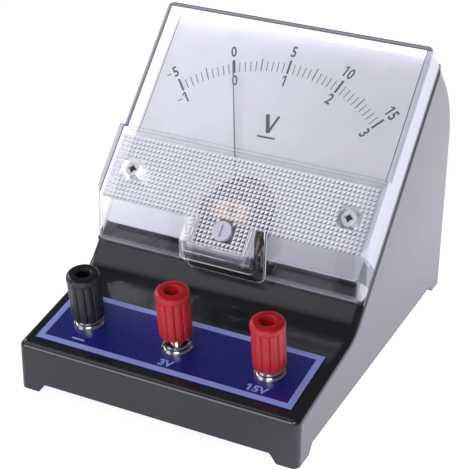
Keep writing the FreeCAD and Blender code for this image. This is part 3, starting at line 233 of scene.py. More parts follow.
class Recipe:
    """The nodes of one material or of the world."""

    def __init__(self, tree):
        self.tree = tree
        tree.nodes.clear()

    def add(self, kind, settings=None, sockets=None, output=0):
        """One node: its type, its settings, then the values or links of its sockets."""
        node = self.tree.nodes.new("ShaderNode" + kind)
        for key, value in (settings or {}).items():
            setattr(node, key, value)
        for key, value in (sockets or {}).items():
            socket = node.inputs[key]
            if isinstance(value, Value):
                self.tree.links.new(value.socket, socket)
            elif hasattr(value, "__len__") and socket.type == "RGBA" and len(value) == 3:
                socket.default_value = (*value, 1.0)
            else:
                socket.default_value = value
        return Value(self, node.outputs[output])

    def position(self):
        """Object coordinates, in metres."""
        return self.add("TexCoord", output=3)

    def dot(self, vector, direction):
        """The share of a vector along a direction."""
        return self.add("VectorMath", {"operation": "DOT_PRODUCT"}, {0: vector, 1: tuple(direction)}, 1)

    def along(self, direction, offset=0.0):
        """Millimetres along a direction, less an offset."""
        return self.dot(self.position(), direction) * (1.0 / MM) - offset

    def facing(self, direction):
        """How far the surface faces a direction, from -1 to 1."""
        return self.dot(self.add("NewGeometry", output=1), direction)

    def slope_axes(self, slope):
        """x, u and n of a slope, in millimetres."""
        return (
            self.along((1.0, 0.0, 0.0)),
            self.along(slope.up, float(slope.up @ slope.origin)),
            self.along(slope.normal, float(slope.normal @ slope.origin)),
        )

    def noise(self, grain, detail=2.0, stretch=(1.0, 1.0, 1.0)):
        """Noise from 0 to 1 whose patches are about grain millimetres wide."""
        place = self.add("Mapping", None, {"Vector": self.position(), "Scale": stretch})
        return self.add("TexNoise", None, {"Vector": place, "Scale": 1.0 / (grain * MM), "Detail": detail})

    def tint(self, factor, first, second):
        """A colour between first and second."""
        return self.add("Mix", {"data_type": "RGBA"}, {0: factor, 6: first, 7: second}, 2)

    def bump(self, height, distance, strength):
        """A normal from a height of up to that distance in millimetres."""
        return self.add("Bump", None, {"Height": height, "Distance": distance * MM, "Strength": strength})

    def surface(self, **sockets):
        """A Principled surface; underscores stand for the spaces in its sockets' names."""
        named = {key.replace("_", " "): value for key, value in sockets.items()}
        return self.add("BsdfPrincipled", None, named)

    def mixed(self, factor, first, second):
        """Two shaders by a factor."""
        return self.add("MixShader", None, {0: factor, 1: first, 2: second})

    def finish(self, shader):
        """Links the shader to the output."""
        self.add_output("OutputMaterial", shader)

    def add_output(self, kind, shader):
        """The output node of that kind."""
        node = self.tree.nodes.new("ShaderNode" + kind)
        self.tree.links.new(shader.socket, node.inputs[0])


def material(name):
    """A new material and its recipe."""
    made = bpy.data.materials.new(name)
    made.use_nodes = True
    return made, Recipe(made.node_tree)


def finish_node(name, made):
    """Gives a CAD node its procedural material."""
    for slot in frame["nodes"][name].material_slots:
        slot.material = made


def placed(name, data):
    """A new object in the scene."""
    made = bpy.data.objects.new(name, data)
    bpy.context.scene.collection.objects.link(made)
    return made


def add_shares(mesh, name, domain, shares):
    """A named number from 0 to 1 for every face or point of a mesh."""
    mesh.attributes.new(name, "FLOAT", domain).data.foreach_set("value", shares.astype(np.float32))


def new_piece(name, points, faces, made, body, stands_for=(), smooth=False):
    """A mesh of points in metres and faces, with its material, riding a body in place of the CAD nodes that
    it stands for."""
    mesh = bpy.data.meshes.new(name)
    corners = np.asarray(points, float).reshape(-1, 3).tolist()
    mesh.from_pydata(corners, [], [list(map(int, face)) for face in faces])
    mesh.validate()
    mesh.materials.append(made)
    if smooth:
        mesh.shade_smooth()
    else:
        mesh.shade_flat()
    piece = placed(name, mesh)
    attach(piece, body)
    if stands_for:
        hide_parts(*stands_for)
    return piece


def grid_faces(rows, columns, wrap_rows=False, wrap_columns=False):
    """Quads between neighbours of a grid of points, numbered row by row."""
    first = np.arange(rows * columns).reshape(rows, columns)
    right = np.roll(first, -1, 1)
    quads = np.stack([first, right, np.roll(right, -1, 0), np.roll(first, -1, 0)], -1)
    quads = quads[: rows if wrap_rows else rows - 1, : columns if wrap_columns else columns - 1]
    return quads.reshape(-1, 4)


def bars(slope, starts, ends, widths, low, high):
    """Flat bars between pairs of points x, u: each is widened to both sides and runs from low to high
    above the slope."""
    starts, ends = np.asarray(starts, float), np.asarray(ends, float)
    run = ends - starts
    side = np.stack([-run[:, 1], run[:, 0]], -1) / np.linalg.norm(run, axis=1)[:, None]
    side = side * np.asarray(widths, float)[:, None] / 2
    ring = np.stack([starts - side, ends - side, ends + side, starts + side], 1)
    corners = np.concatenate([ring, ring], 1)
    heights = np.broadcast_to(np.repeat([low, high], 4), corners.shape[:2])
    points = slope.at(corners[..., 0], corners[..., 1], heights).reshape(-1, 3)
    box = np.array([[3, 2, 1, 0], [4, 5, 6, 7], [0, 1, 5, 4], [1, 2, 6, 5], [2, 3, 7, 6], [3, 0, 4, 7]])
    faces = (box[None] + 8 * np.arange(len(starts))[:, None, None]).reshape(-1, 4)
    return points, faces


def lettering(slope, words, low, high, width_share, boldness):
    """Solid letters, and the two ends of the flag of each leading 1, which is drawn as a bar. Each word is
    centred, scaled to its height and width share, turned by its angle and laid on the slope at its x, u."""
    points, faces, flags, count = [], [], [], 0
    for text, x, u, height, angle in words:
        curve = bpy.data.curves.new("word", "FONT")
        curve.body = text
        curve.align_x = "CENTER"
        curve.align_y = "CENTER"
        curve.extrude = 0.5
        curve.offset = boldness
        curve.resolution_u = 3
        holder = placed("word", curve)
        bpy.context.view_layer.update()
        mesh = bpy.data.meshes.new_from_object(holder.evaluated_get(bpy.context.evaluated_depsgraph_get()))
        flat = np.array([v.co for v in mesh.vertices], float)
        middle = (flat[:, :2].max(0) + flat[:, :2].min(0)) / 2
        scale = height / np.ptp(flat[:, 1])
        across = (flat[:, 0] - middle[0]) * scale * width_share
        rise = (flat[:, 1] - middle[1]) * scale
        turn = np.array([[math.cos(angle), math.sin(angle)], [-math.sin(angle), math.cos(angle)]])
        turned = turn @ np.stack([across, rise])
        points.append(slope.at(x + turned[0], u + turned[1], np.where(flat[:, 2] > 0, high, low)))
        if text[0] == "1":
            flag_across = across.min() + height * np.array([0.06, -0.20])
            flag_up = height * np.array([0.46, 0.24])
            flags.append(np.array([[x], [u]]) + turn @ np.stack([flag_across, flag_up]))
        faces += [[v + count for v in polygon.vertices] for polygon in mesh.polygons]
        count += len(flat)
        bpy.data.objects.remove(holder)
        bpy.data.curves.remove(curve)
        bpy.data.meshes.remove(mesh)
    return np.concatenate(points), faces, np.array(flags)


def shaded(tint, share):
    """A share of a colour."""
    return tuple(c * share for c in tint)


def black_moulding(name, base, roughness, grain):
    """Glossy moulded black with a faint orange peel, rubbed patches and dust specks."""
    finish = settings("finish")
    made, recipe = material(name)
    rubbed = recipe.noise(14.0, 3.0).ramp(0.48, 0.72)
    specks = recipe.noise(0.55, 1.0).ramp(0.74, 0.80)
    speck_zone = recipe.noise(9.0, 2.0).ramp(0.42, 0.62)
    dust = specks * speck_zone * 0.5 + rubbed * 0.02
    peel = recipe.noise(grain, 2.0)
    shader = recipe.surface(
        Base_Color=recipe.tint(dust, base, tuple(finish.dust)),
        Roughness=roughness + rubbed * 0.06 + dust * 0.3,
        Normal=recipe.bump(peel, 0.010, 0.35),
        Specular_IOR_Level=0.5)
    recipe.finish(shader)
    return made


def plain_metal(name, base, roughness, grain=0.5, stretch=(1.0, 1.0, 1.0)):
    """Metal with darker clouds, and fine grain in its roughness and relief."""
    made, recipe = material(name)
    grains = recipe.noise(grain, 3.0, stretch)
    cloud = recipe.noise(grain * 12, 2.0)
    darker = shaded(base, 0.75)
    shader = recipe.surface(
        Base_Color=recipe.tint(cloud.ramp(0.35, 0.7), base, darker),
        Metallic=1.0,
        Roughness=roughness + grains * roughness * 0.6,
        Normal=recipe.bump(grains, 0.006, 0.3))
    recipe.finish(shader)
    return made


def matt_stuff(name, base, roughness, grain=0.8, mottle=0.15):
    """Plain moulded or painted stuff with a faint mottle and grain."""
    made, recipe = material(name)
    cloud = recipe.noise(grain * 8, 3.0)
    grains = recipe.noise(grain, 2.0)
    darker = shaded(base, 1 - mottle)
    shader = recipe.surface(
        Base_Color=recipe.tint(cloud.ramp(0.3, 0.75), base, darker),
        Roughness=roughness + grains * 0.08,
        Normal=recipe.bump(grains, 0.008, 0.3))
    recipe.finish(shader)
    return made


class VOLTMETER_OT_housing(bpy.types.Operator):
    """Finishes the black housing and its bottom plate"""

    bl_idname = "voltmeter.housing"
    bl_label = "Housing"

    def execute(self, context):
        finish = settings("finish")
        finish_node("case", black_moulding("glossy_black_housing", tuple(finish.housing), 0.10, 1.1))
        finish_node("base_plate", black_moulding("satin_black_base", (0.02, 0.02, 0.021), 0.38, 0.7))
        return {"FINISHED"}


def nose_outline(x, u):
    """Signed distance to a rectangle with rounded corners: how far a point is outside the nose's outline."""
    half, foot, corner = 14.3, 9.0, 2.6
    past_x = x.away() - (half - corner)
    past_u = (foot + corner) - u
    inside = past_x.most(past_u).least(0.0)
    past_x, past_u = past_x.most(0.0), past_u.most(0.0)
    return (past_x * past_x + past_u * past_u).math("SQRT") + inside - corner


def pillar_distance(x, u):
    """How far a point is from the axis of the nearer screw pillar."""
    side, rise = x.away() - PILLAR_SIDE, u - PILLAR_RISE
    return (side * side + rise * rise).math("SQRT")


def cover_painted_shading(recipe):
    """Painted shade, painted highlights and painted reflections along the cover's folds, as layers of a mask,
    an opacity and a colour, each laid over those before; then where the cover glows as painted light, and where
    it doesn't shine."""
    x, u, n = recipe.slope_axes(FACE)
    # Zones in x, u and facing, each 1 inside and 0 outside.
    side = x.away()
    left, right = x.ramp(1.0, -1.0), x.ramp(-1.0, 1.0)
    front = recipe.facing(FACE.normal).ramp(0.55, 0.85)
    right_face = recipe.facing((1.0, 0.0, 0.0)).ramp(0.55, 0.85)
    lower_face = recipe.facing(-FACE.up).ramp(0.5, 0.8)
    left_wall = right_face * left
    top_wall = lower_face * u.ramp(80.0, 90.0)
    walls = left_wall.most(top_wall)
    outer = 1 - walls
    rim = side.within(46.7, 50.0, 0.10)
    band = u.ramp(48.4, 48.0)
    off_nose = side.ramp(14.2, 14.8)
    nose = side.ramp(15.0, 14.6) * u.ramp(23.2, 22.6)
    low = u.ramp(15.0, 13.2)
    outline = nose_outline(x, u)
    edge = nose * front * outline.within(-0.3, 0.1, 0.06)
    pillar = pillar_distance(x, u)
    painted_streaks = recipe.noise(2.6, 2.0, (0.3, 1.0, 1.0)).ramp(0.35, 0.6)
    spike_half = u.ramp(12.0, 22.5, 0.2, 1.6)
    spike_off = (x - u.ramp(12.0, 22.5, 13.7, 12.9)).away()
    spike = (spike_off - spike_half).ramp(0.1, -0.1) * u.ramp(11.5, 12.5)
    spike_core = (spike_off - spike_half * 0.35).ramp(0.1, -0.1) * u.ramp(14.0, 16.0)
    layers = (
        # Left rim: painted shade above the band, a paler painted reflection beside it, and a dark painted line.
        (rim * left * outer, 0.96, (0.17, 0.17, 0.19)),
        (side.within(47.5, 48.1, 0.10) * front * left * outer, 0.96, (0.36, 0.36, 0.38)),
        (side.within(46.9, 50.0, 0.10) * left * outer * band, 0.95, (0.55, 0.55, 0.59)),
        (side.within(46.6, 47.1, 0.08) * front * left, 0.92, (0.08, 0.08, 0.09)),
        # Right rim: a pale painted reflection between two dark painted shade lines.
        (rim * front * right, 0.88, (0.56, 0.56, 0.61)),
        (side.within(46.45, 46.8, 0.06) * front * right, 0.85, SHADE_LINE_GREY),
        (side.within(48.35, 48.7, 0.06) * front * right, 0.85, SHADE_LINE_GREY),
        # Top rim: painted shade, with a greyer painted band.
        (u.within(94.4, 99.0, 0.10) * outer * (1 - right_face), 0.96, (0.10, 0.10, 0.11)),
        (u.within(95.0, 95.6, 0.15) * front, 0.92, (0.24, 0.24, 0.26)),
        # Walls: the left and the top one are painted bright white and glow as painted light; the right one is
        # painted a pale greyish shade.
        (left_wall * n.ramp(1.0, 3.0), 0.92, LIT_WHITE),
        (top_wall, 0.92, LIT_WHITE),
        (right_face * right * side.ramp(16.0, 17.0), 0.85, (0.60, 0.60, 0.65)),
        # Foot of the cover: painted shade. Folds of its band: greyish painted lines and greyish painted
        # shading, stronger towards the right.
        (u.within(0.0, 11.6, 0.12) * front * off_nose, 0.50, (0.10, 0.10, 0.11)),
        (u.within(10.0, 10.7, 0.10) * off_nose, 0.50, (0.50, 0.50, 0.54)),
        (u.within(15.9, 22.5, 0.20) * off_nose * x.ramp(-40.0, 45.0, 0.15, 1.0), 0.28, (0.36, 0.36, 0.40)),
        (band * front * x.ramp(36.0, 47.0) * u.ramp(22.0, 23.0), 0.22, (0.36, 0.36, 0.40)),
        (u.within(22.5, 23.2, 0.10) * front * off_nose * band, 0.40, (0.34, 0.34, 0.37)),
        (u.within(47.9, 48.3, 0.06) * front, 0.45, (0.24, 0.24, 0.27)),
        # Rims of the counterbores: greyish painted shading.
        (pillar.within(3.45, 3.70, 0.08) * front * band, 0.35, (0.25, 0.25, 0.28)),
        (pillar.within(2.05, 2.25, 0.08) * front * band, 0.30, (0.30, 0.30, 0.33)),
        # Nose: greyish and dark painted rings with streaky painted highlights inside its outline, a pale
        # greyish painted right side, a dark painted spike of shade on its right wall with a warm painted
        # reflection in its core, and its bright edge as a painted highlight that also glows.
        (nose * outline.within(-5.0, -3.5, 0.20), 0.50, (0.42, 0.42, 0.46)),
        (nose * outline.within(-4.6, -4.2, 0.10) * painted_streaks, 0.60, LIT_WHITE),
        (nose * low * outline.within(-3.5, -2.2, 0.15), 0.55, (0.16, 0.16, 0.19)),
        (nose * outline.within(-2.35, -2.1, 0.06) * painted_streaks, 0.70, LIT_WHITE),
        (nose * low * outline.within(-2.1, -0.3, 0.12), 0.65, (0.045, 0.040, 0.036)),
        (nose * x.within(10.9, 14.0, 0.10) * (1 - low) * front, 0.60, (0.50, 0.50, 0.53)),
        (nose * spike, 0.90, (0.040, 0.034, 0.026)),
        (nose * spike_core * painted_streaks, 0.70, (0.30, 0.25, 0.18)),
        (edge, 0.75, (0.86, 0.85, 0.82)))
    # The glow of the left and top walls and of the nose's edge is painted light.
    return layers, walls.most(edge * 0.6), pillar.ramp(4.4, 4.2) * band * 0.9


def cover_finish():
    """Clear styrene: see-through with a faint haziness, with greyish and dark painted shade and painted
    highlights along its folds, and walls and a nose edge that glow as painted light. Only front sides shine,
    because the Fresnel node makes mirrors of back sides."""
    made, recipe = material("clear_cover")
    layers, painted_glow, dull = cover_painted_shading(recipe)
    u = recipe.slope_axes(FACE)[1]
    smears = recipe.noise(10.0, 3.0).ramp(0.45, 0.8)
    haze_and_painted_shading = (smears * 0.03 + 0.014) * u.ramp(14.8, 16.2, 0.2, 1.0)
    haze_and_painted_shading_tint = recipe.tint(smears * 0.3, (0.86, 0.86, 0.92), LIT_WHITE)
    for mask, opacity, tint in layers:
        haze_and_painted_shading = haze_and_painted_shading.over(mask, opacity)
        haze_and_painted_shading_tint = recipe.tint(mask, haze_and_painted_shading_tint, tint)
    through = recipe.add("BsdfTransparent", None, {0: (0.985, 0.985, 0.99)})
    # Its emission is painted light on the glowing walls and the nose's edge.
    body = recipe.surface(
        Base_Color=haze_and_painted_shading_tint, Roughness=0.7, Specular_IOR_Level=0.0,
        Emission_Color=recipe.tint(painted_glow, BLACK, (0.7, 0.7, 0.7)), Emission_Strength=1.0)
    gloss = recipe.add("BsdfGlossy", None, {"Color": (1.0, 1.0, 1.0), "Roughness": 0.04})
    behind = recipe.add("NewGeometry", output=6)
    shine = recipe.add("Fresnel", None, {"IOR": 1.45}) * (1 - behind) * (1 - dull)
    recipe.finish(recipe.mixed(shine, recipe.mixed(haze_and_painted_shading, through, body), gloss))
    return made


def prism_finish():
    """Prism facets in painted light: a share per facet turns them from darkened see-through, a painted shade,
    to bright white that glows, a painted highlight.
    """
    made, recipe = material("cover_prism_facets")
    painted_facet_light = recipe.add("Attribute", {"attribute_name": "painted_facet_light"}, output=2)
    through = recipe.add("BsdfTransparent", None, {0: (0.74, 0.74, 0.76)})
    white = recipe.surface(
        Base_Color=(0.95, 0.95, 0.98), Roughness=0.3, Emission_Color=(1.0, 1.0, 1.0), Emission_Strength=0.50)
    recipe.finish(recipe.mixed(painted_facet_light, through, white))
    return made


def prism_field():
    """Left lower corners x, u of all prisms: a square grid over the band and the nose, except where the
    screw pillars and the adjuster stand."""
    pitch = settings("detail").prism_pitch / MM
    start_x, start_u = 0.64, -0.12
    columns = np.arange(-31, 31) * pitch + start_x
    rows = np.arange(9, 31) * pitch + start_u
    x, u = (grid.ravel() for grid in np.meshgrid(columns, rows))
    mid_x, mid_u = x + pitch / 2, u + pitch / 2
    band = (np.abs(mid_x) < 46.3) & (mid_u > 23.4) & (mid_u < 45.8)
    nose = (np.abs(mid_x) < 12.3) & (mid_u > 13.9) & (mid_u < 24.5)
    pillars = np.hypot(np.abs(mid_x) - PILLAR_SIDE, mid_u - PILLAR_RISE) < 4.1
    adjuster = np.hypot(mid_x, mid_u - ADJUSTER_RISE) < 4.0
    keep = (band | nose) & ~pillars & ~adjuster
    return x[keep], u[keep], pitch


class VOLTMETER_OT_cover(bpy.types.Operator):
    """Finishes the clear cover and adds the prisms moulded under its band"""

    bl_idname = "voltmeter.cover"
    bl_label = "Clear cover"

    def execute(self, context):
        finish_node("front_cover", cover_finish())
        x, u, pitch = prism_field()
        apex = BAND_UNDERSIDE - settings("detail").prism_depth / MM
        gap = 0.02
        # A prism's corners: a square less a gap on the band's underside, and its middle lowered to the apex.
        corner_x = x[:, None] + np.array([gap, pitch - gap, pitch - gap, gap, pitch / 2])
        corner_u = u[:, None] + np.array([gap, gap, pitch - gap, pitch - gap, pitch / 2])
        height = np.broadcast_to([BAND_UNDERSIDE] * 4 + [apex], corner_x.shape)
        points = FACE.at(corner_x, corner_u, height)
        first = 5 * np.arange(len(x))[:, None]
        facets = np.array([[0, 4, 1], [1, 4, 2], [2, 4, 3], [3, 4, 0]])
        faces = (facets[None] + first[..., None]).reshape(-1, 3).tolist()
        faces += (np.arange(4)[None] + first).tolist()
        piece = new_piece("cover_prisms", points, faces, prism_finish(), "housing")
        # The painted light of each facet, and none for the flat back.
        painted_facet_light = np.concatenate([np.tile(FACET_PAINTED_LIGHT, len(x)), np.zeros(len(x))])
        add_shares(piece.data, "painted_facet_light", "FACE", painted_facet_light)
        return {"FINISHED"}


def label_finish(base):
    """Blue satin print in faint clouds."""
    made, recipe = material("printed_blue_label")
    cloud = recipe.noise(9.0, 2.0)
    fine = recipe.noise(0.5, 2.0)
    recipe.finish(recipe.surface(
        Base_Color=recipe.tint(cloud.ramp(0.35, 0.7), base, shaded(base, 1.12)),
        Roughness=0.26 + fine * 0.04,
        Normal=recipe.bump(fine, 0.002, 0.1)))
    return made


def label_ink(base):
    """Pale blue ink that is worn in small spots."""
    made, recipe = material("pale_blue_ink")
    worn = recipe.noise(0.6, 2.0).ramp(0.55, 0.75) * 0.25
    recipe.finish(recipe.surface(Base_Color=recipe.tint(worn, base, shaded(base, 0.7)), Roughness=0.34))
    return made


class VOLTMETER_OT_label(bpy.types.Operator):
    """Finishes the blue terminal label and prints its border and marks"""

    bl_idname = "voltmeter.label"
    bl_label = "Terminal label"

    def execute(self, context):
        finish = settings("finish")
        finish_node("terminal_label", label_finish(tuple(finish.label)))
        ink = label_ink(tuple(finish.label_print))
        low = LABEL_FRONT
        high = low + settings("detail").print_thickness / MM
        half, foot, head, border = 44.6, 4.0, 29.75, 2.1
        mid_x, mid_foot, mid_head = half - border / 2, foot + border / 2, head - border / 2
        starts = [(-half, mid_foot), (-half, mid_head), (-mid_x, foot + border), (mid_x, foot + border)]
        ends = [(half, mid_foot), (half, mid_head), (-mid_x, head - border), (mid_x, head - border)]
        points, faces = bars(TERRACE, starts, ends, [border] * 4, low, high)
        new_piece("label_border", points, faces, ink, "housing")
        line, letter_height = 8.35, 2.9
        words = [("3V", 0.3, line, letter_height, 0.0), ("15V", 31.75, line, letter_height, 0.0)]
        points, faces, flags = lettering(TERRACE, words, low, high, 1.15, 0.035)
        new_piece("label_marks", points, faces, ink, "housing")
        minus_rise, minus_width, flag_width = 7.9, 0.75, 0.5
        starts = [(-33.4, minus_rise), flags[0, :, 0]]
        ends = [(-28.9, minus_rise), flags[0, :, 1]]
        points, faces = bars(TERRACE, starts, ends, [minus_width, flag_width], low, high)
        new_piece("label_minus", points, faces, ink, "housing")
        return {"FINISHED"}


def plate_finish(base):
    """White paint with a fine grain, greyer towards the right as under light that falls off."""
    made, recipe = material("white_scale_paint")
    greyed = recipe.along((1.0, 0.0, 0.0)).ramp(-50.0, 50.0)
    grains = recipe.noise(0.5, 2.0)
    recipe.finish(recipe.surface(
        Base_Color=recipe.tint(greyed, base, shaded(base, 0.77)),
        Roughness=0.55 + grains * 0.08,
        Normal=recipe.bump(grains, 0.008, 0.3)))
    return made


def dial_point(radius, angle):
    """x, u at a radius and an angle clockwise from upright about the pivot."""
    return np.stack([radius * np.sin(angle), PIVOT_RISE + radius * np.cos(angle)], -1)


class VOLTMETER_OT_dial(bpy.types.Operator):
    """Finishes the scale plate and the pointer and prints ticks, numerals and the unit sign"""

    bl_idname = "voltmeter.dial"
    bl_label = "Dial"

    def execute(self, context):
        finish, detail = settings("finish"), settings("detail")
        finish_node("scale_plate", plate_finish(tuple(finish.plate)))
        finish_node("pointer", matt_stuff("pointer_paint", tuple(finish.pointer), 0.35, 0.4))
        finish_node("pointer_stops", plain_metal("stop_wire", (0.7, 0.62, 0.45), 0.25))
        ink = matt_stuff("dial_ink", tuple(finish.dial_print), 0.5, 0.3)
        low = PLATE_FRONT
        high = low + detail.print_thickness / MM
        outer = detail.tick_radius / MM
        span = math.radians(41.3)
        count = 41
        marks = np.linspace(-span, span, count)
        major = np.arange(count) % 10 == 0
        medium = (np.arange(count) % 5 == 0) & ~major
        tip = np.where(major, outer, np.where(medium, outer - 0.3, outer - 1.25))
        root = np.where(major, outer - 4.95, outer - 4.9)
        widths = np.where(major, 0.74, np.where(medium, 0.36, 0.28))
        points, faces = bars(FACE, dial_point(root, marks), dial_point(tip, marks), widths, low, high)
        new_piece("dial_ticks", points, faces, ink, "housing")
        rings = (outer + 3.2, outer - 7.6)
        words = []
        for angle, *texts in zip(marks[major], ("5", "0", "5", "10", "15"), ("1", "0", "1", "2", "3")):
            for text, radius in zip(texts, rings):
                x, u = dial_point(radius, angle)
                words.append((text, float(x), float(u), detail.numeral_height / MM, float(angle)))
        points, faces, flags = lettering(FACE, words, low, high, 0.76, 0.022)
        new_piece("dial_numerals", points, faces, ink, "housing")
        # The two strokes of the V, the line under it, and a dark line along the plate's left edge that is
        # painted shade of that edge.
        strokes = (
            ((-1.75, 64.6), (0.35, 58.2), 1.35),
            ((2.45, 64.6), (0.35, 58.2), 0.90),
            ((-3.0, 56.5), (3.5, 56.6), 0.62),
            ((-45.38, 49.0), (-45.38, 94.0), 0.2))
        starts, ends, widths = zip(*strokes)
        middles = np.stack([dial_point(radius, -span) for radius in rings])
        across = np.array([math.cos(span), math.sin(span)])
        minus_far, minus_near, minus_width, flag_width = 3.2, 1.7, 0.42, 0.45
        starts = np.concatenate([middles - minus_far * across, starts, flags[:, :, 0]])
        ends = np.concatenate([middles - minus_near * across, ends, flags[:, :, 1]])
        widths = [minus_width] * len(rings) + list(widths) + [flag_width] * len(flags)
        points, faces = bars(FACE, starts, ends, widths, low, high)
        new_piece("dial_strokes", points, faces, ink, "housing")
        return {"FINISHED"}


def cap_surface(base, groove_depth):
    """A ribbed cap. Rows follow CAP_OUTLINE, a closed outline of radius and height; each row goes once round
    the axis, and between the ribs its radius dips as a rounded notch, as deep as the row's share says."""
    radius, height, share = (np.array(column, float)[:, None] for column in zip(*CAP_OUTLINE))
    ribs, steps = 12, 16
    angle = np.arange(ribs * steps)[None] * 2 * math.pi / (ribs * steps)
    from_notch = np.abs(((angle * ribs / (2 * math.pi) + 0.5) % 1.0) - 0.5) * 2
    notch_reach, notch_power = 0.30, 1.3
    notch = np.clip(1 - from_notch / notch_reach, 0, 1) ** notch_power
    rib_base, rib_crown = 0.02, 0.14
    crown = rib_crown * from_notch ** 2
    dip = share * (groove_depth * notch + rib_base - crown)
    reach = (radius - dip) * MM
    axis = np.array(joint("post_3v_turn")["axis"], float)
    up = np.cross(axis, (1.0, 0.0, 0.0))
    across = np.array([1.0, 0.0, 0.0])
    points = (np.array(base, float) + reach[..., None] * np.cos(angle)[..., None] * across
              + reach[..., None] * np.sin(angle)[..., None] * up
              + np.broadcast_to(height, reach.shape)[..., None] * MM * axis)
    return points, grid_faces(len(CAP_OUTLINE), ribs * steps, True, True)


def cap_finish(name, base, worn, roughness):
    """Moulded cap: dusty, worn sides and a cleaner, smoother top."""
    made, recipe = material(name)
    grains = recipe.noise(0.45, 3.0)
    cloud = recipe.noise(2.5, 3.0)
    flecks = recipe.noise(0.35, 1.0).ramp(0.62, 0.72)
    off_top = 1 - recipe.facing(joint("post_3v_turn")["axis"]).ramp(0.5, 0.9)
    dusty = (cloud.ramp(0.35, 0.7) * 0.35 + flecks * 0.35 + 0.15) * off_top
    shader = recipe.surface(
        Base_Color=recipe.tint(dusty, base, worn),
        Roughness=roughness + off_top * 0.12 + grains * 0.1,
        Specular_IOR_Level=0.35,
        Normal=recipe.bump(grains, 0.02, 0.5))
    recipe.finish(shader)
    return made


class VOLTMETER_OT_posts(bpy.types.Operator):
    """Makes the three ribbed caps and finishes their studs, inserts, washers, tags and nuts"""

    bl_idname = "voltmeter.posts"
    bl_label = "Binding posts"

    def execute(self, context):
        finish, detail = settings("finish"), settings("detail")
        red = cap_finish("dusty_red_cap", tuple(finish.red), (0.26, 0.036, 0.045), 0.24)
        black = cap_finish("satin_black_cap", tuple(finish.black), (0.05, 0.05, 0.055), 0.16)
        nickel = plain_metal("nickel_plate", (0.72, 0.69, 0.63), 0.10, 0.6)
        # The brass inserts in the caps' bores are painted: near black as painted shade under the black cap, and
        # red as a painted reflection of the red plastic under the red caps.
        bore_in_painted_shade = plain_metal("insert_in_painted_shade", (0.03, 0.027, 0.022), 0.4, 0.5)
        bore_in_painted_red_reflection = matt_stuff("insert_in_painted_red_reflection", (0.55, 0.012, 0.014), 0.3)
        for post in POSTS:
            if post == "common":
                cap, bore_painted_light, slot = black, bore_in_painted_shade, "black_cap"
            else:
                cap, bore_painted_light, slot = red, bore_in_painted_red_reflection, "red_cap"
            points, faces = cap_surface(joint(f"post_{post}_turn")["pos_m"], detail.rib_groove / MM)
            piece = new_piece(
                f"ribbed_cap_{post}", points, faces, cap, f"post_cap_{post}", [f"cap_{post}"], True)
            piece.data.set_sharp_from_angle(angle=math.radians(50))
            finish_node(f"stud_{post}", nickel)
            finish_node(f"insert_{post}", bore_painted_light)
        finish_node("post_washers", plain_metal("zinc_washer", (0.6, 0.6, 0.58), 0.3))
        finish_node("solder_tags", plain_metal("tinned_tag", (0.74, 0.72, 0.68), 0.22))
        finish_node("post_nuts", nickel)
        lacquer = matt_stuff("lacquered_resistor", (0.55, 0.42, 0.24), 0.3)
        for node in ("multiplier_15v", "multiplier_3v"):
            finish_node(node, lacquer)
        return {"FINISHED"}


def winding_finish():
    """Enamelled copper: fine ridges of wires that lie side by side."""
    made, recipe = material("copper_winding")
    wires = recipe.add("TexWave", {"bands_direction": "X"}, {"Vector": recipe.position(), "Scale": 2500.0})
    shader = recipe.surface(
        Base_Color=recipe.tint(wires, (0.30, 0.10, 0.04), (0.85, 0.36, 0.18)),
        Metallic=0.9, Roughness=0.3, Normal=recipe.bump(wires, 0.05, 0.6))
    recipe.finish(shader)
    return made


def bridge_finish():
    """The top bridge: dark ends and a warm glow between them, as under light that the prisms let through."""
    made, recipe = material("warm_bridge")
    x = recipe.along((1.0, 0.0, 0.0))
    glow = x.ramp(-9.0, -3.0) * x.ramp(8.0, 2.0) * (recipe.noise(3.0, 2.0) * 0.8 + 0.3)
    recipe.finish(recipe.surface(
        Base_Color=recipe.tint(glow, (0.05, 0.045, 0.04), (0.90, 0.62, 0.43)),
        Roughness=0.4,
        Emission_Color=recipe.tint(glow, BLACK, (0.46, 0.28, 0.15)),
        Emission_Strength=1.0,
        Normal=recipe.bump(recipe.noise(0.4), 0.01, 0.3)))
    return made


class VOLTMETER_OT_movement(bpy.types.Operator):
    """Finishes the moving-coil movement behind the arch of the dial"""

    bl_idname = "voltmeter.movement"
    bl_label = "Movement"

    def execute(self, context):
        brass = plain_metal("movement_brass", (0.30, 0.22, 0.13), 0.35)
        bronze = plain_metal("spring_bronze", (0.62, 0.42, 0.22), 0.2)
        steel = plain_metal("pivot_steel", (0.5, 0.5, 0.5), 0.18)
        finishes = {
            "movement_frame": plain_metal("die_cast_frame", (0.30, 0.30, 0.31), 0.42, 0.8),
            "yoke_ring": plain_metal("turned_iron", (0.28, 0.27, 0.27), 0.35, 0.4, (1, 1, 6)),
            "core_magnet": plain_metal("ground_magnet", (0.22, 0.22, 0.23), 0.3),
            "coil_former": plain_metal("coil_sheet", (0.75, 0.75, 0.77), 0.25),
            "coil_winding": winding_finish(),
            "top_bridge": bridge_finish()}
        finishes.update(dict.fromkeys(("front_hairspring", "rear_hairspring"), bronze))
        finishes.update(dict.fromkeys(("front_pivot", "rear_pivot"), steel))
        finishes.update(dict.fromkeys((
            "front_jewel", "rear_jewel", "bottom_bridge", "core_spacer_upper", "core_spacer_lower",
            "balance_weights", "zero_lever"), brass))
        for node, made in finishes.items():
            finish_node(node, made)
        return {"FINISHED"}


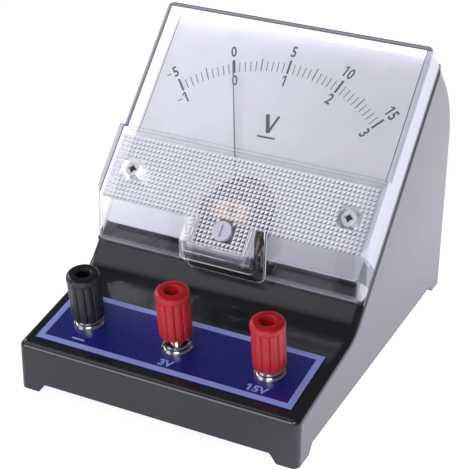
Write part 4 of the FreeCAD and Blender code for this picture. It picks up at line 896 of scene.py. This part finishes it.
def cross_screw_finish():
    """Bright screw heads whose crosses are painted dark as painted shade of their recesses, ragged and rounded
    at their ends.
    """
    made, recipe = material("bright_cross_screw")
    x, u = recipe.slope_axes(FACE)[:2]
    lobes = (x.away() - PILLAR_SIDE).away() * (u - PILLAR_RISE).away()
    ragged = recipe.noise(0.4, 3.0) * 0.9
    # The dark crosses are painted shade of the recess.
    cross = (pillar_distance(x, u) + ragged + lobes * 0.9).ramp(1.95, 1.70)
    recipe.finish(recipe.surface(
        Base_Color=recipe.tint(cross, (0.62, 0.62, 0.66), (0.050, 0.056, 0.046)),
        Metallic=cross * 0.3,
        Roughness=0.5,
        Normal=recipe.bump(ragged, 0.02, 0.4)))
    return made


class VOLTMETER_OT_fittings(bpy.types.Operator):
    """Finishes the screws and the pale zero adjuster"""

    bl_idname = "voltmeter.fittings"
    bl_label = "Screws and adjuster"

    def execute(self, context):
        dark_steel = plain_metal("dull_screw_steel", (0.30, 0.30, 0.28), 0.32, 0.4)
        for node in ("movement_screws", "bridge_screws", "base_screws"):
            finish_node(node, dark_steel)
        cross_screw = cross_screw_finish()
        for node in ("cover_screw_left", "cover_screw_right"):
            finish_node(node, cross_screw)
        nylon = tuple(settings("finish").nylon)
        finish_node("zero_adjuster", matt_stuff("pale_nylon", nylon, 0.35, 0.4, 0.04))
        return {"FINISHED"}


def glow_panel(name, direction, distance, width, height, glow, soft):
    """A lamp that faces the part from a direction: a grid whose glow fades over its outer share called soft.
    A point is the aim, plus the distance away, plus a share of half the width and half the height."""
    aim = np.array((0.0, 0.0, 0.045))
    away = np.array(direction, float) / np.linalg.norm(direction)
    across = np.cross((0.0, 0.0, 1.0), away)
    across = across / np.linalg.norm(across)
    rise = np.cross(away, across)
    steps = 25
    share = np.linspace(-1.0, 1.0, steps)
    a, b = np.meshgrid(share, share)
    points = (aim + away * distance + a[..., None] * across * width / 2 + b[..., None] * rise * height / 2)
    edge = np.clip((1 - np.abs(a)) / soft, 0, 1) * np.clip((1 - np.abs(b)) / soft, 0, 1)
    fade = (edge * edge * (3 - 2 * edge)).ravel()
    made, recipe = material(name)
    strength = recipe.add("Attribute", {"attribute_name": "fade"}, output=2) * glow
    recipe.finish(recipe.add("Emission", None, {0: LAMP_TINT, 1: strength}))
    mesh = bpy.data.meshes.new(name)
    mesh.from_pydata(points.reshape(-1, 3).tolist(), [], grid_faces(steps, steps).tolist())
    add_shares(mesh, "fade", "POINT", fade)
    mesh.materials.append(made)
    panel = placed(name, mesh)
    panel.visible_camera = False


def make_sky(stage):
    """A sky that glows more near the horizon than overhead."""
    world = bpy.data.worlds.new("studio_sky")
    world.use_nodes = True
    recipe = Recipe(world.node_tree)
    rise = recipe.add("SeparateXYZ", None, {0: recipe.add("TexCoord", output=0)}, 2)
    glow = rise.ramp(0.02, 0.16, stage.horizon_glow, stage.sky_glow)
    recipe.add_output("OutputWorld", recipe.add("Background", None, {0: SKY_TINT, 1: glow}))
    bpy.context.scene.world = world


def make_floor(stage):
    """A wide pale floor that glows, and more so behind the part's right side."""
    made, recipe = material("pale_floor")
    east = recipe.along((1.0, 0.0, 0.0))
    north = recipe.along((0.0, 1.0, 0.0))
    bright = east.ramp(20.0, 70.0) * north.ramp(-140.0, -40.0)
    glow = bright * (stage.side_glow - stage.floor_glow) + stage.floor_glow
    diffuse = recipe.add("BsdfDiffuse", None, {0: (0.5, 0.5, 0.5)})
    shine = recipe.add("Emission", None, {0: SKY_TINT, 1: glow})
    recipe.finish(recipe.add("AddShader", None, {0: diffuse, 1: shine}))
    reach = 4.0
    corners = [(-reach, -reach, 0), (reach, -reach, 0), (reach, reach, 0), (-reach, reach, 0)]
    mesh = bpy.data.meshes.new("floor")
    mesh.from_pydata(corners, [], [(0, 1, 2, 3)])
    mesh.materials.append(made)
    ground = placed("floor", mesh)


def make_camera(stage):
    """The camera at its place, turned by its azimuth, elevation and roll."""
    a, e, r = stage.azimuth, stage.elevation, stage.roll
    back = np.array((math.sin(a) * math.cos(e), -math.cos(a) * math.cos(e), math.sin(e)))
    level = np.array((math.cos(a), math.sin(a), 0.0))
    rise = np.cross(back, level)
    right = math.cos(r) * level + math.sin(r) * rise
    up = math.cos(r) * rise - math.sin(r) * level
    camera = bpy.data.cameras.new("camera")
    camera.lens = stage.lens
    camera.sensor_width = 36.0
    camera.clip_start = 0.01
    holder = placed("camera", camera)
    matrix = Matrix.Identity(4)
    for column, axis in enumerate((right, up, back, np.array(stage.place))):
        for row in range(3):
            matrix[row][column] = float(axis[row])
    holder.matrix_world = matrix
    bpy.context.scene.camera = holder


class VOLTMETER_OT_stage(bpy.types.Operator):
    """Sets the pale floor, the sky, the lamps and the camera"""

    bl_idname = "voltmeter.stage"
    bl_label = "Stage"

    def execute(self, context):
        stage = settings("stage")
        context.scene.view_settings.view_transform = "Standard"
        make_sky(stage)
        make_floor(stage)
        glow_panel("front_softbox", (-0.58, -0.43, 0.68), 1.5, 1.5, 1.3, stage.softbox_glow, 0.55)
        glow_panel("left_lamp", (-0.40, -0.95, 0.16), 1.9, 1.4, 1.1, stage.front_glow, 0.4)
        glow_panel("right_lamp", (0.25, -0.90, 0.42), 2.0, 1.4, 1.1, stage.front_glow, 0.4)
        glow_panel("back_lamp", (-0.85, 0.15, 0.55), 0.9, 0.6, 0.6, stage.back_glow, 0.4)
        make_camera(stage)
        return {"FINISHED"}


class VOLTMETER_PT_panel(bpy.types.Panel):
    """Lists the steps that dress the voltmeter"""

    bl_idname = "VOLTMETER_PT_panel"
    bl_label = "Voltmeter"
    bl_space_type = "VIEW_3D"
    bl_region_type = "UI"
    bl_category = "Voltmeter"

    def draw(self, context):
        for step in STEPS:
            self.layout.operator(step.bl_idname)
        for group in GROUPS:
            for key in group[1].__annotations__:
                self.layout.prop(settings(group[0]), key)


GROUPS = (("stage", StageSettings), ("finish", FinishSettings), ("detail", DetailSettings))
STEPS = (
    VOLTMETER_OT_stage,
    VOLTMETER_OT_housing,
    VOLTMETER_OT_cover,
    VOLTMETER_OT_label,
    VOLTMETER_OT_dial,
    VOLTMETER_OT_posts,
    VOLTMETER_OT_movement,
    VOLTMETER_OT_fittings,
)


def register():
    """Registers the settings, the steps and the panel."""
    for name, group in GROUPS:
        bpy.utils.register_class(group)
        setattr(bpy.types.Scene, "voltmeter_" + name, bpy.props.PointerProperty(type=group))
    for step in STEPS:
        bpy.utils.register_class(step)
    bpy.utils.register_class(VOLTMETER_PT_panel)


def unregister():
    """Takes away what register added."""
    bpy.utils.unregister_class(VOLTMETER_PT_panel)
    for step in reversed(STEPS):
        bpy.utils.unregister_class(step)
    for name, group in reversed(GROUPS):
        delattr(bpy.types.Scene, "voltmeter_" + name)
        bpy.utils.unregister_class(group)


def main():
    register()
    for step in STEPS:
        space, name = step.bl_idname.split(".")
        getattr(getattr(bpy.ops, space), name)()


if __name__ == "__main__":
    main()
